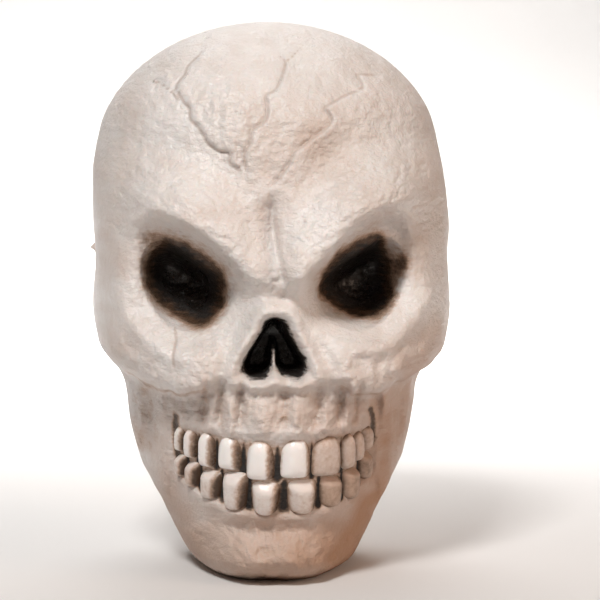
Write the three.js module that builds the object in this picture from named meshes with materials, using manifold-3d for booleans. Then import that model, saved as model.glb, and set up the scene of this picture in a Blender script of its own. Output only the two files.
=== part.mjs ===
// A life-size Halloween skull: a hollow plastic face half and back half that meet on
// one upright parting plane, six screws that hold the halves together, and a ring
// hanger on the back of the head. The face looks along -Y and the chin stands on z = 0.
import * as THREE from 'three';
import { mergeVertices, toCreasedNormals } from 'three/addons/utils/BufferGeometryUtils.js';
import Module from 'manifold-3d';

// The skull, millimetres
const SKULL_HEIGHT = 230;      // chin to crown
const SKULL_WIDTH = 150;       // across the cheekbones
const FACE_DEPTH = 85;         // parting plane to the front of the upper jaw
const BACK_DEPTH = 90;         // parting plane to the back of the head
const PARTING_Y = -15;         // so that the origin is under the back half's foot
const WALL = 2.5;              // moulded wall
const FORM_FADE = 16;          // depth of bone over which the moulded forms come in
const FIT_GAP = 0.3;           // between pieces that touch
const CUT_SPARE = 1;           // how far a cut runs past what it cuts
const TONGUE_REACH = 5;        // rim of the back half inside the face half
const TONGUE_WALL = 1.8;
const TONGUE_GAP = 2;          // the face wall leans in along the tongue's reach
const TONGUE_FOOT = 14;        // the tongue starts above the rounded foot

// Eye sockets
const EYE_SPACING = 70;
const EYE_LEVEL = 0.54 * SKULL_HEIGHT;
const SOCKET_WIDTH = 33;
const SOCKET_HEIGHT = 39;
const SOCKET_DEPTH = 26;       // below the bowl round it
const SOCKET_LEAN = 24;        // degrees that the tall axis leans outwards
const SOCKET_TURN = 18;        // degrees that it faces outwards
const LID_RISE = 1.5;          // the hole's straight top edge above the eye's middle at the nose
const LID_SLOPE = 29;          // degrees

// Bowl round a socket: a leaning egg cut off by the brow's edge
const ORBIT_LEVEL = 0.516 * SKULL_HEIGHT;
const ORBIT_WIDTH = 52;
const ORBIT_HEIGHT = 50;
const ORBIT_LEAN = 22;         // degrees
const EDGE_LEVEL = 0.524 * SKULL_HEIGHT; // the brow's edge beside the nose
const EDGE_INNER = 0.07 * SKULL_WIDTH;
const EDGE_SLOPE = 44;         // degrees
const BOWL_DEPTH = 9;
const BOWL_DEEPER = 0.7;       // how much deeper it is under the brow
const BOWL_WALL = 14;          // how far in its slope runs over the cheekbone
const BROW_WALL = 7;           // and under the brow
const BOWL_EDGE = 1;           // how far outside its line the slope starts
const BROW_ROLL = 2.6;         // and how much further under the brow
const WALL_LOW = 0.461 * SKULL_HEIGHT; // between these levels one turns into the other
const WALL_HIGH = 0.565 * SKULL_HEIGHT;
const WALL_OUTER = 0.053 * SKULL_WIDTH; // outside the socket's middle it turns back
const WALL_END = 0.153 * SKULL_WIDTH;
const BRIDGE_SHARE = 0.4;      // of the bowl's depth beside the nose
const BRIDGE_INNER = 0.033 * SKULL_WIDTH;
const BRIDGE_OUTER = 0.127 * SKULL_WIDTH;
const BOWL_FADE = 0.56;        // share of the half width where the bowl starts to fade out
const BOWL_GONE = 0.92;
const RIM_HEIGHT = 4.2;        // raised bone outside the bowl's lower edge
const RIM_OUT = 3;
const RIM_ROUND = 4;
const RIM_LOW = 0.487 * SKULL_HEIGHT;
const RIM_TOP = 0.557 * SKULL_HEIGHT;
const RIM_INNER = 0.35;        // share of its height beside the nose

// Brow: a ridge that runs from the nose up and outwards, split by a crease
const BROW_LOW = 0.5435 * SKULL_HEIGHT;
const BROW_RISE = 26;
const BROW_REACH = 0.36 * SKULL_WIDTH;
const BROW_HEIGHT = 11;
const BROW_ABOVE = 12.5;       // how far the ridge fades upwards
const BROW_BELOW = 15;
const BROW_FOOT = 0.491 * SKULL_HEIGHT; // it comes in from here over the nose
const BROW_FULL = 0.526 * SKULL_HEIGHT;
const BROW_TURN = 1.35;        // share of the reach where the line stops rising
const BROW_THIN = 2.25;        // how much lower the ridge is at the end of its reach
const VALLEY_DEPTH = 2.6;      // hollow of the forehead above the ridge
const VALLEY_RISE = 23;
const VALLEY_ROUND = 9;
const VALLEY_START = 0.12;     // share of the reach where the hollow starts and is full
const VALLEY_FULL = 0.4;
const CREASE_DEPTH = 3;
const CREASE_WIDTH = 4;
const CREASE_RISE = 36;        // how far it runs up the forehead

// Nose
const NOSE_TOP = 0.469 * SKULL_HEIGHT;
const NOSE_HEIGHT = 24;
const NOSE_WIDTH = 27;
const NOSE_DEPTH = 20;
const SEPTUM_HEIGHT = 12;
const SEPTUM_WIDTH = 2.6;
const NASAL_BONE = 6.5;        // height of the ridge above the opening
const NASAL_SPREAD = 8.5;
const NASAL_LIFT = 1;          // the ridge's highest place above the opening
const NASAL_TALL = 8;
const NOSE_RIM = 5;            // raised edge round the opening
const NOSE_RIM_WIDTH = 5;
const NOSE_RIM_START = 0.5;    // share of the opening's height where the edge is full
const NOSE_FLARE = 0.8;        // how soon the edge spreads
const POCKET_MARGIN = 7.5;     // wall and blend behind the opening's sides
// Points of half the opening and of its curves: shares of half its width and of its height
const NOSE_OUTLINE = {
  apexHandle: [0.5, 1],
  waistHandle: [0.6, 0.5],
  lobe: [1, 0.16],
  lobeHandle: [1, 0],
  footHandle: [0.4, -0.043],
  foot: 0.043,
};

// Cheekbones and jaw
const CHEEK_EDGE = 0.341 * SKULL_HEIGHT;
const CHEEK_HEIGHT = 6.6;
const CHEEK_SOFTNESS = 8.5;
const CHEEK_UNDER = 4.2;       // how sharply the lower edge turns under
const CHEEK_SHADE = 3.6;       // hollow below the edge
const CHEEK_DIP = 5;           // the lower edge sags between the nose and the side
const CHEEK_LIFT = 6.5;        // and rises towards the nose
const CHEEK_MIDDLE = 0.25 * SKULL_WIDTH;
const CHEEK_SPREAD = 0.104 * SKULL_WIDTH;
const CHEEK_INNER = 0.12 * SKULL_WIDTH;
const CHEEK_FULL = 0.25 * SKULL_WIDTH;
const CHEEK_OUTER = 0.45 * SKULL_WIDTH;
const SAG_BELOW = 5;           // the bone sags from here below the edge
const SAG_ABOVE = 15;          // to here above it
const SAG_BLEND = 12;
const STRAND_REACH = 0.303 * SKULL_WIDTH; // ridge beside the mouth, from the middle
const STRAND_HEIGHT = 3.6;
const STRAND_WIDTH = 3.2;
const STRAND_LOW = 0.165 * SKULL_HEIGHT;
const STRAND_TOP = 0.305 * SKULL_HEIGHT;
const STRAND_FADE = 11;
const CHIN_LEVEL = 0.05 * SKULL_HEIGHT;
const CHIN_HEIGHT = 4.2;
const CHIN_ROUND = 6.9;
const CHIN_SPREAD = 24;
const LIP_LEVEL = 0.105 * SKULL_HEIGHT; // hollow between the chin and the lower gum
const LIP_DEPTH = 4.2;
const LIP_ROUND = 5.8;
const NOTCH_DEPTH = 2.4;       // notch in the middle of the chin
const NOTCH_WIDTH = 7;
const NOTCH_HEIGHT = 4.1;
const CORNER_HEIGHT = 2.6;     // the chin's two lower corners
const CORNER_LEVEL = 0.022 * SKULL_HEIGHT;
const CORNER_REACH = 18;
const CORNER_WIDTH = 8;
const CORNER_TALL = 5;
// Sides of the face: height, place and spread as shares of the half width, level as a share
// of the skull's height, and how tall
const SIDE_FORMS = [
  { height: -6.5, place: 0.86, spread: 0.10, level: 0.639, tall: 12 }, // temple
  { height: 4.5, place: 0.90, spread: 0.09, level: 0.439, tall: 7 }, // cheekbone's arch
  { height: -5.5, place: 0.88, spread: 0.10, level: 0.313, tall: 11 }, // pocket under it
  { height: 3.0, place: 0.90, spread: 0.07, level: 0.165, tall: 12 }, // corner of the jaw
];

// Teeth: widths along the bite, from the middle to the corner of the mouth
const UPPER_WIDTHS = [12.0, 11.8, 10.0, 8.8, 7.4];
const LOWER_WIDTHS = [11.8, 11.4, 10.4, 9.2];
const TOOTH_GAP = 1.2;
const TOOTH_PROUD = 2.3;       // in front of the recess they stand in
const TOOTH_ROOTED = 1.8;      // behind its surface
const TOOTH_ROUND = 1.0;
const TOOTH_NECK = 0.86;       // share of the width at the gum
const TOOTH_BULGE = 1.06;      // share of the width half way up
const TOOTH_SHOULDER = 0.7;    // share of half the height where the gum's arch starts
const TOOTH_STEP = 0.25;       // stride along the bite
const BITE_LEVEL = 0.191 * SKULL_HEIGHT;
const BITE_RISE = 5.5;         // at the corners of the mouth
const BITE_CURVE = 1.6;        // how late the bite rises
const UPPER_TOOTH = 17;        // height of a middle tooth
const LOWER_TOOTH = 14.5;
const TOOTH_SHRINK = 0.34;     // how much shorter the last tooth is
const UPPER_SHIFT = 0.4;       // the rows stand a little to one side
const LOWER_SHIFT = 2.6;
const MOUTH_HALF = 0.27 * SKULL_WIDTH;
const MOUTH_RECESS = 2.4;
const MOUTH_CORNER = 2;        // how softly the recess ends at the corners

// Back of the head
const NECK_LEVEL = 0.39 * SKULL_HEIGHT; // ridge where the neck began
const NECK_HEIGHT = 3;
const NECK_ROUND = 5;
const NECK_ARCH = 0.167;       // how it falls towards the sides
const NECK_INNER = 0.2 * SKULL_WIDTH;
const NECK_OUTER = 0.4 * SKULL_WIDTH;
const EAR_LEVEL = 0.36 * SKULL_HEIGHT; // bone behind the ears
const EAR_PLACE = 0.72;        // share of the half width
const EAR_HEIGHT = 6;
const EAR_WIDTH = 8;
const EAR_TALL = 13;
const NAPE_LEVEL = 0.29 * SKULL_HEIGHT;
const NAPE_DEPTH = 4;
const NAPE_WIDTH = 26;
const NAPE_TALL = 12;

// Screws that join the halves, from behind
const SCREW_LEVELS = [0.1, 0.5, 0.8].map((share) => share * SKULL_HEIGHT);
const SCREW_INSET = 14;        // screw line inside the outline
const SCREW_RADIUS = 1.75;
const SCREW_LENGTH = 16;
const SCREW_TIP = 3;
const HEAD_RADIUS = 3.5;
const HEAD_HEIGHT = 2.4;
const HEAD_DOME = 1.1;         // rounded part of the head's height
const DOME_RADIUS = 2.7;       // where the dome's steep side ends
const DOME_FALL = 0.33;        // and how far that lies below the top
const RECESS_SPAN = 4;
const RECESS_WIDTH = 0.9;
const RECESS_DEPTH = 1.4;
const SEAT_DEPTH = 8;          // plastic under a screw's head
const SHANK_GAP = 0.2;
const PILLAR_WALL = 3.2;
const WELL_GAP = 1;            // round a screw's head
const WELL_WALL = 2;
const BORE_SPARE = 2;          // past a screw's tip

// Hanger: a strap screwed to a flat on the back of the head, with a D ring in its eye
const HANGER_LEVEL = 0.687 * SKULL_HEIGHT;
const FLAT_DEPTH = 3.5;        // cut below the back of the head
const FLAT_WIDTH = 34;
const FLAT_ABOVE = 8;
const FLAT_BELOW = 36;
const STRAP_WIDTH = 14;
const STRAP_LENGTH = 25;       // eye to rounded end
const STRAP_THICKNESS = 1.2;
const EYE_WALL = 1.2;
const STRAP_SCREW_DROP = 16;   // below the eye
const STRAP_SCREW_LENGTH = 10;
const RING_WIRE = 1.3;         // radius
const RING_INSIDE = 20;
const RING_DROP = 12;          // straight sides above the half round
const RING_GAP = 0.3;          // wire to eye

// Mesh fineness
const FACE_COLUMNS = 44;
const FACE_ROWS = 38;
const BACK_COLUMNS = 18;
const BACK_ROWS = 19;
const HOLLOW_COLUMNS = 20;
const HOLLOW_ROWS = 18;
const BACK_HOLLOW_COLUMNS = 14;
const BACK_HOLLOW_ROWS = 10;
const CROWN_ROWS = 8;
const HOLLOW_CROWN_ROWS = 5;
const EVENNESS = 0.78;         // how evenly the columns are spread across the face
const ROLL_TURNS = 8;          // places round the ball that is rolled along the form
const ROLL_RINGS = [0.6, 0.95];
const ROLL_RISES = [-1, -0.7, -0.35, 0.35, 0.7, 1];
const WELD = 1e-4;             // points closer than this are one
const CREASE_ANGLE = 35;       // degrees between faces that shows as an edge
const OUTLINE_STEPS = 18;
const ROUND = 10;
const WIRE_SIDES = 8;

// Sections of the loft from chin to crown. Heights, half widths and depths are shares
// of the sizes above; fullness squares a section and roundness turns its side wall.
const SECTIONS = [
  { height: 0.000, wide: 0.386, face: 0.706, back: 0.42, fullness: 2.7, roundness: 1.70 },
  { height: 0.017, wide: 0.452, face: 0.812, back: 0.43, fullness: 2.7, roundness: 1.70 },
  { height: 0.052, wide: 0.519, face: 0.882, back: 0.44, fullness: 2.6, roundness: 1.60 },
  { height: 0.113, wide: 0.612, face: 0.894, back: 0.47, fullness: 2.4, roundness: 1.45 },
  { height: 0.196, wide: 0.738, face: 0.976, back: 0.55, fullness: 2.05, roundness: 1.25 },
  { height: 0.270, wide: 0.791, face: 1.000, back: 0.67, fullness: 2.0, roundness: 1.25 },
  { height: 0.322, wide: 0.811, face: 0.988, back: 0.78, fullness: 2.1, roundness: 1.30 },
  { height: 0.348, wide: 0.838, face: 0.976, back: 0.83, fullness: 2.3, roundness: 1.45 },
  { height: 0.374, wide: 0.898, face: 0.953, back: 0.87, fullness: 2.8, roundness: 1.75 },
  { height: 0.413, wide: 0.971, face: 0.929, back: 0.92, fullness: 3.1, roundness: 1.85 },
  { height: 0.478, wide: 1.000, face: 0.906, back: 0.965, fullness: 3.3, roundness: 1.90 },
  { height: 0.565, wide: 0.984, face: 0.912, back: 0.995, fullness: 3.4, roundness: 2.00 },
  { height: 0.643, wide: 0.997, face: 0.929, back: 1.000, fullness: 3.0, roundness: 2.00 },
  { height: 0.717, wide: 0.997, face: 0.918, back: 0.978, fullness: 2.6, roundness: 2.00 },
  { height: 0.791, wide: 0.965, face: 0.868, back: 0.908, fullness: 2.4, roundness: 2.00 },
  { height: 0.861, wide: 0.878, face: 0.765, back: 0.785, fullness: 2.3, roundness: 2.00 },
];
const CROWN_BEND = 1.6;        // how steeply the crown turns in at the last section

const bonePlastic = new THREE.MeshStandardMaterial({ color: 0xe9dfd6, roughness: 0.45 });
const steel = new THREE.MeshStandardMaterial({ color: 0xb9bcc0, roughness: 0.35, metalness: 1 });
const zincSteel = new THREE.MeshStandardMaterial({ color: 0xa9abae, roughness: 0.4, metalness: 1 });

const faceBase = PARTING_Y - FIT_GAP / 2;
const backBase = PARTING_Y + FIT_GAP / 2;

// Small maths shared by the forms below
const radians = THREE.MathUtils.degToRad;
const clamp = THREE.MathUtils.clamp;
const ease = (from, to, value) => {
  const share = clamp((value - from) / (to - from), 0, 1);
  return share * share * (3 - 2 * share);
};
const bell = (value) => Math.exp(-value * value);
const between = (low, high, blend, value) => (
  ease(low - blend, low, value) * (1 - ease(high, high + blend, value))
);

// A cubic through the sections' values that never overshoots them
function sectionValue(key, height) {
  const last = SECTIONS.length - 1;
  const slope = (index) => {
    const low = SECTIONS[index];
    const high = SECTIONS[index + 1];
    return (high[key] - low[key]) / (high.height - low.height);
  };
  const bend = (index) => {
    if (index === 0) return slope(0);
    if (index === last) return CROWN_BEND * slope(last - 1);
    const before = slope(index - 1);
    const after = slope(index);
    return before * after > 0 ? 2 * before * after / (before + after) : 0;
  };
  let index = 0;
  while (index < last - 1 && height > SECTIONS[index + 1].height) index += 1;
  const low = SECTIONS[index];
  const high = SECTIONS[index + 1];
  const span = high.height - low.height;
  const t = clamp((height - low.height) / span, 0, 1);
  const value = low[key] * (1 + 2 * t) * (1 - t) ** 2 + high[key] * t * t * (3 - 2 * t);
  return value + span * t * (1 - t) * (bend(index) * (1 - t) - bend(index + 1) * t);
}

// Above the last section the square of each size falls as a parabola to the crown
function loftSize(key, z) {
  const height = z / SKULL_HEIGHT;
  const top = SECTIONS.at(-1);
  if (height <= top.height) return sectionValue(key, height);
  const below = SECTIONS.at(-2);
  const left = 1 - top.height;
  const t = clamp((height - top.height) / left, 0, 1);
  const slope = CROWN_BEND * (top[key] - below[key]) / (top.height - below.height);
  const first = 2 * top[key] * slope * left;
  const second = -(top[key] ** 2 + first);
  return Math.sqrt(Math.max(top[key] ** 2 + first * t + second * t * t, 0));
}
const halfWidth = (z) => loftSize('wide', z) * SKULL_WIDTH / 2;

// Depth of the bare bone in front of the parting plane
function boneDepth(x, z) {
  const side = Math.abs(x);
  const wide = halfWidth(z);
  if (z > SKULL_HEIGHT || side >= wide) return 0;
  // The step under the cheekbone sags beside the nose and fades towards it
  const sag = CHEEK_DIP * bell((side - CHEEK_MIDDLE) / CHEEK_SPREAD)
    - CHEEK_LIFT * (1 - ease(CHEEK_INNER / 2, CHEEK_MIDDLE - CHEEK_SPREAD, side));
  const near = between(CHEEK_EDGE - SAG_BELOW, CHEEK_EDGE + SAG_ABOVE, SAG_BLEND, z);
  const height = Math.min((z + sag * near) / SKULL_HEIGHT, SECTIONS.at(-1).height);
  const fullness = sectionValue('fullness', height);
  const roundness = sectionValue('roundness', height);
  const depth = loftSize('face', z) * FACE_DEPTH;
  return depth * Math.max(1 - (side / wide) ** fullness, 0) ** (1 / roundness);
}

// A socket is a leaning half egg, set at the bone's own depth; this matrix makes it from
// a unit ball
function socketMatrix(side, margin) {
  const x = side * EYE_SPACING / 2;
  const y = faceBase - boneDepth(x, EYE_LEVEL) + BOWL_DEPTH;
  const size = new THREE.Vector3(SOCKET_WIDTH / 2, SOCKET_DEPTH, SOCKET_HEIGHT / 2).addScalar(margin);
  return new THREE.Matrix4().makeTranslation(x, y, EYE_LEVEL)
    .multiply(new THREE.Matrix4().makeRotationZ(side * radians(SOCKET_TURN)))
    .multiply(new THREE.Matrix4().makeRotationY(side * radians(SOCKET_LEAN)))
    .multiply(new THREE.Matrix4().makeScale(size.x, size.y, size.z));
}

// How far in front of the parting plane the floor of a grown socket lies
const grownSockets = new Map();
function socketFloor(x, z, margin) {
  const side = Math.sign(x) || 1;
  const key = `${side} ${margin}`;
  if (!grownSockets.has(key)) grownSockets.set(key, socketMatrix(side, margin).invert());
  const toBall = grownSockets.get(key);
  const start = new THREE.Vector3(x, 0, z).applyMatrix4(toBall);
  const along = new THREE.Vector3(x, 1, z).applyMatrix4(toBall).sub(start);
  const middle = -start.dot(along) / along.lengthSq();
  const nearest = start.clone().addScaledVector(along, middle);
  if (nearest.lengthSq() >= 1) return Infinity;
  const half = Math.sqrt((1 - nearest.lengthSq()) / along.lengthSq());
  return faceBase - middle - half;
}

// The bowl round a socket, steep under the brow and gentle over the cheekbone, and the
// raised bone outside its lower edge
function socketSlope(x, z) {
  const side = Math.abs(x);
  const out = side - EYE_SPACING / 2;
  const up = z - ORBIT_LEVEL;
  const lean = radians(ORBIT_LEAN);
  const across = (out * Math.cos(lean) - up * Math.sin(lean)) / (ORBIT_WIDTH / 2);
  const along = (out * Math.sin(lean) + up * Math.cos(lean)) / (ORBIT_HEIGHT / 2);
  const egg = (1 - Math.hypot(across, along)) * ORBIT_HEIGHT / 2;
  const slope = radians(EDGE_SLOPE);
  const lid = (side - EDGE_INNER) * Math.sin(slope) - (z - EDGE_LEVEL) * Math.cos(slope);
  const within = Math.min(egg, lid);
  const underBrow = ease(WALL_LOW, WALL_HIGH, z) * (1 - ease(WALL_OUTER, WALL_END, out));
  const start = -BOWL_EDGE - BROW_ROLL * underBrow;
  const end = BOWL_WALL + (BROW_WALL - BOWL_WALL) * underBrow;
  const bridge = BRIDGE_SHARE + (1 - BRIDGE_SHARE) * ease(BRIDGE_INNER, BRIDGE_OUTER, side);
  const temple = 1 - ease(BOWL_FADE, BOWL_GONE, side / halfWidth(z));
  const bowl = BOWL_DEPTH * (1 + BOWL_DEEPER * underBrow) * ease(start, end, within)
    * bridge * temple;
  const outer = RIM_INNER + (1 - RIM_INNER) * ease(-SOCKET_WIDTH / 2, SOCKET_WIDTH / 6, out);
  const rim = RIM_HEIGHT * bell((within + RIM_OUT) / RIM_ROUND) * (1 - ease(RIM_LOW, RIM_TOP, z));
  return bowl - rim * outer;
}

// The socket's cutter: the egg below the brow's straight edge
function socketCutter(side) {
  const egg = solid(new THREE.SphereGeometry(1, 2 * ROUND, ROUND).applyMatrix4(socketMatrix(side, 0)));
  const brow = new THREE.BoxGeometry(SKULL_WIDTH, SKULL_HEIGHT, SOCKET_HEIGHT);
  brow.translate(0, 0, SOCKET_HEIGHT / 2);
  brow.rotateY(-side * radians(LID_SLOPE));
  const inner = EYE_SPACING / 2 - SOCKET_WIDTH / 2;
  brow.translate(side * inner, faceBase, EYE_LEVEL + LID_RISE);
  return egg.subtract(solid(brow));
}

function browHeight(x, z) {
  const share = Math.abs(x) / BROW_REACH;
  const quarter = Math.PI / 2;
  const line = BROW_LOW + BROW_RISE * Math.sin(Math.min(share, BROW_TURN) * quarter);
  const tilt = Math.atan(BROW_RISE / BROW_REACH * quarter * Math.cos(Math.min(share, 1) * quarter));
  const away = (z - line) * Math.cos(tilt);
  const lobe = (BROW_HEIGHT - BROW_THIN * share) * bell(away / (away > 0 ? BROW_ABOVE : BROW_BELOW));
  const valley = VALLEY_DEPTH * bell((away - VALLEY_RISE) / VALLEY_ROUND)
    * ease(VALLEY_START, VALLEY_FULL, share);
  const ridge = (lobe - valley) * ease(BROW_FOOT, BROW_FULL, z);
  const crease = CREASE_DEPTH * bell(x / CREASE_WIDTH)
    * ease(BROW_FOOT, BROW_FULL, z)
    * (1 - ease(BROW_LOW + BROW_RISE, BROW_LOW + CREASE_RISE, z));
  return ridge - crease;
}

function noseHeight(x, z) {
  const bone = NASAL_BONE * bell(x / NASAL_SPREAD) * bell((z - NOSE_TOP - NASAL_LIFT) / NASAL_TALL);
  const drop = clamp((NOSE_TOP - z) / NOSE_HEIGHT, 0, 1);
  const edge = Math.hypot(
    Math.max(Math.abs(x) - NOSE_WIDTH / 2 * drop ** NOSE_FLARE, 0),
    Math.max(NOSE_TOP - NOSE_HEIGHT - z, z - NOSE_TOP, 0),
  );
  return bone + NOSE_RIM * bell(edge / NOSE_RIM_WIDTH) * ease(0, NOSE_RIM_START, drop);
}

function cheekHeight(x, z) {
  const side = Math.abs(x);
  const edge = CHEEK_EDGE + CHEEK_DIP * ease(CHEEK_MIDDLE, CHEEK_OUTER, side)
    + CHEEK_LIFT * (1 - ease(CHEEK_SPREAD, CHEEK_MIDDLE, side));
  const above = z - edge;
  const peak = CHEEK_SOFTNESS / 2;
  const swell = above > 0
    ? bell((above - peak) / CHEEK_SOFTNESS)
    : bell(peak / CHEEK_SOFTNESS) * bell(above / CHEEK_UNDER);
  const cheek = CHEEK_HEIGHT * swell * ease(CHEEK_INNER, CHEEK_FULL, side);
  const shade = CHEEK_SHADE * bell((above + peak) / peak) * ease(CHEEK_INNER, CHEEK_FULL, side);
  const jaw = between(STRAND_LOW, STRAND_TOP, STRAND_FADE, z);
  const strand = bell((side - STRAND_REACH) / STRAND_WIDTH) * jaw;
  const furrow = bell((side - STRAND_REACH - 2 * STRAND_WIDTH) / STRAND_WIDTH) * jaw;
  return cheek - shade + STRAND_HEIGHT * (strand - furrow);
}

// Towards the outline: temple, cheekbone's arch, the pocket under it and the jaw's corner
function sideHeight(x, z) {
  const near = Math.abs(x) / halfWidth(z);
  return SIDE_FORMS.reduce((sum, { height, place, spread, level, tall }) => (
    sum + height * bell((near - place) / spread) * bell((z - level * SKULL_HEIGHT) / tall)
  ), 0);
}

function chinHeight(x, z) {
  const ball = CHIN_HEIGHT * bell((z - CHIN_LEVEL) / CHIN_ROUND) * bell(x / CHIN_SPREAD);
  const hollow = LIP_DEPTH * bell((z - LIP_LEVEL) / LIP_ROUND) * bell(x / CHIN_SPREAD);
  const notch = NOTCH_DEPTH * bell(x / NOTCH_WIDTH) * bell(z / NOTCH_HEIGHT);
  const corners = CORNER_HEIGHT * bell((Math.abs(x) - CORNER_REACH) / CORNER_WIDTH)
    * bell((z - CORNER_LEVEL) / CORNER_TALL);
  return ball + corners - hollow - notch;
}

const biteLevel = (x) => BITE_LEVEL + BITE_RISE * (Math.abs(x) / MOUTH_HALF) ** BITE_CURVE;
const toothScale = (x) => 1 - TOOTH_SHRINK * Math.min(Math.abs(x) / MOUTH_HALF, 1) ** 2;

// The band that the teeth stand in, a little behind the gums
function mouthDepth(x, z) {
  const bite = biteLevel(x);
  const top = bite + UPPER_TOOTH * toothScale(x);
  const low = bite - LOWER_TOOTH * toothScale(x);
  const band = between(low + MOUTH_RECESS, top - MOUTH_RECESS, 2 * MOUTH_RECESS, z);
  const across = 1 - ease(MOUTH_HALF - MOUTH_CORNER, MOUTH_HALF + MOUTH_CORNER, Math.abs(x));
  return MOUTH_RECESS * band * across;
}

// The whole face; the forms fade out towards the parting plane
function faceDepth(x, z) {
  const bone = boneDepth(x, z);
  if (bone === 0) return 0;
  const forms = browHeight(x, z) + noseHeight(x, z) + cheekHeight(x, z) + sideHeight(x, z)
    + chinHeight(x, z) - socketSlope(x, z) - mouthDepth(x, z);
  return Math.max(bone + ease(0, FORM_FADE, bone) * forms, 0);
}

// The nose's pocket as seen by the hollow behind it
function pocketDepth(x, z) {
  const half = NOSE_WIDTH / 2 + WALL;
  const blend = POCKET_MARGIN - WALL;
  const beside = between(-half, half, blend, x);
  const within = between(NOSE_TOP - NOSE_HEIGHT - WALL, NOSE_TOP + WALL, blend, z);
  return (NOSE_DEPTH + NOSE_RIM + NASAL_BONE) * beside * within;
}

// The back of the head, with the ridge where the neck began and the bone behind the ears
function backDepth(x, z) {
  const side = Math.abs(x);
  const wide = halfWidth(z);
  if (z > SKULL_HEIGHT || side >= wide) return 0;
  const bone = loftSize('back', z) * BACK_DEPTH * Math.sqrt(1 - (side / wide) ** 2);
  const neckRidge = NECK_HEIGHT * bell((z - NECK_LEVEL + NECK_ARCH * side) / NECK_ROUND)
    * (1 - ease(NECK_INNER, NECK_OUTER, side));
  const earBone = EAR_HEIGHT * bell((side - EAR_PLACE * wide) / EAR_WIDTH)
    * bell((z - EAR_LEVEL) / EAR_TALL);
  const nape = NAPE_DEPTH * bell((z - NAPE_LEVEL) / NAPE_TALL) * bell(x / NAPE_WIDTH);
  return Math.max(bone + ease(0, FORM_FADE, bone) * (neckRidge + earBone - nape), 0);
}

// The surface one wall inside: a ball of the wall's radius rolled along the form
function hollowOf(depth) {
  const turns = [...Array(ROLL_TURNS).keys()].map((step) => 2 * Math.PI * step / ROLL_TURNS);
  const reach = ROLL_RINGS.map((share) => share * WALL);
  return (x, z) => {
    let least = depth(x, z) - WALL;
    for (const radius of reach) {
      const rise = Math.sqrt(WALL * WALL - radius * radius);
      for (const turn of turns) {
        const near = depth(x + radius * Math.cos(turn), z + radius * Math.sin(turn));
        least = Math.min(least, near - rise);
      }
    }
    return Math.max(least, 0);
  };
}
function hollowHalfWidth(z) {
  let least = halfWidth(z) - WALL;
  for (const share of ROLL_RISES) {
    const near = Math.max(z + share * WALL, 0);
    least = Math.min(least, halfWidth(near) - WALL * Math.sqrt(1 - share * share));
  }
  return Math.max(least, 0);
}

// A closed solid between the plane y = base and a depth over the outline; way is -1
// towards the face and 1 towards the back. The top row is one point.
function heightSolid({ columns, rows, base, way, wide, depth }) {
  const points = [];
  const triangles = [];
  const stations = [...Array(columns + 1).keys()].map((step) => {
    const share = 2 * step / columns - 1;
    return Math.sin(Math.PI / 2 * share * (EVENNESS + (1 - EVENNESS) * share * share));
  });
  const lastRow = rows.length - 1;
  rows.slice(0, lastRow).forEach((z) => {
    stations.forEach((station, column) => {
      const x = station * wide(z);
      const edge = column === 0 || column === columns;
      points.push(x, base + way * (edge ? 0 : depth(x, z)), z);
    });
  });
  points.push(0, base, rows[lastRow]);
  const at = (column, row) => row * (columns + 1) + (row === lastRow ? 0 : column);
  const face = (a, b, c) => {
    if (a === b || b === c || c === a) return;
    triangles.push(...(way < 0 ? [a, b, c] : [a, c, b]));
  };
  for (let row = 0; row < lastRow; row += 1) {
    for (let column = 0; column < columns; column += 1) {
      const low = [at(column, row), at(column + 1, row)];
      const high = [at(column, row + 1), at(column + 1, row + 1)];
      if (column < columns / 2) {
        face(low[1], high[1], high[0]);
        face(low[1], high[0], low[0]);
      } else {
        face(low[0], low[1], high[1]);
        face(low[0], high[1], high[0]);
      }
    }
    face(at(0, row), at(0, row + 1), at(columns, row + 1));
    face(at(0, row), at(columns, row + 1), at(columns, row));
  }
  for (let column = 1; column < columns; column += 1) {
    face(at(0, 0), at(column + 1, 0), at(column, 0));
  }
  const geometry = new THREE.BufferGeometry();
  geometry.setAttribute('position', new THREE.Float32BufferAttribute(points, 3));
  geometry.setIndex(triangles);
  return geometry;
}

// Rows from the foot to the crown: even up to the last section, then turning over it
function rowsBetween(low, high, evenRows, crownRows) {
  const bend = low + (high - low) * SECTIONS.at(-1).height;
  const even = [...Array(evenRows).keys()].map((step) => low + (bend - low) * step / evenRows);
  const crown = [...Array(crownRows + 1).keys()].map((step) => (
    bend + (high - bend) * Math.sin(step / crownRows * Math.PI / 2)
  ));
  return [...even, ...crown];
}

// Closed meshes become solids that can be joined and cut, and come back as geometry
const wasm = await Module();
wasm.setup();
function solid(geometry) {
  const bare = geometry.clone();
  bare.deleteAttribute('normal');
  bare.deleteAttribute('uv');
  const merged = mergeVertices(bare, WELD);
  return new wasm.Manifold(new wasm.Mesh({
    numProp: 3,
    vertProperties: new Float32Array(merged.attributes.position.array),
    triVerts: new Uint32Array(merged.index.array),
  }));
}
function geometryOf(manifold) {
  const mesh = manifold.getMesh();
  const geometry = new THREE.BufferGeometry();
  const points = new Float32Array(mesh.vertProperties);
  geometry.setAttribute('position', new THREE.BufferAttribute(points, 3));
  geometry.setIndex(new THREE.BufferAttribute(new Uint32Array(mesh.triVerts), 1));
  return toCreasedNormals(geometry, radians(CREASE_ANGLE));
}

// A round bar along Y from one depth to another
function bar(radius, x, z, from, to) {
  const geometry = new THREE.CylinderGeometry(radius, radius, to - from, ROUND);
  geometry.translate(x, (from + to) / 2, z);
  return solid(geometry);
}

// Screw places on both sides, an even distance inside the outline
const screwPlaces = SCREW_LEVELS.flatMap((z) => {
  const x = halfWidth(z) - SCREW_INSET;
  return [{ x: -x, z }, { x, z }];
});

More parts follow.
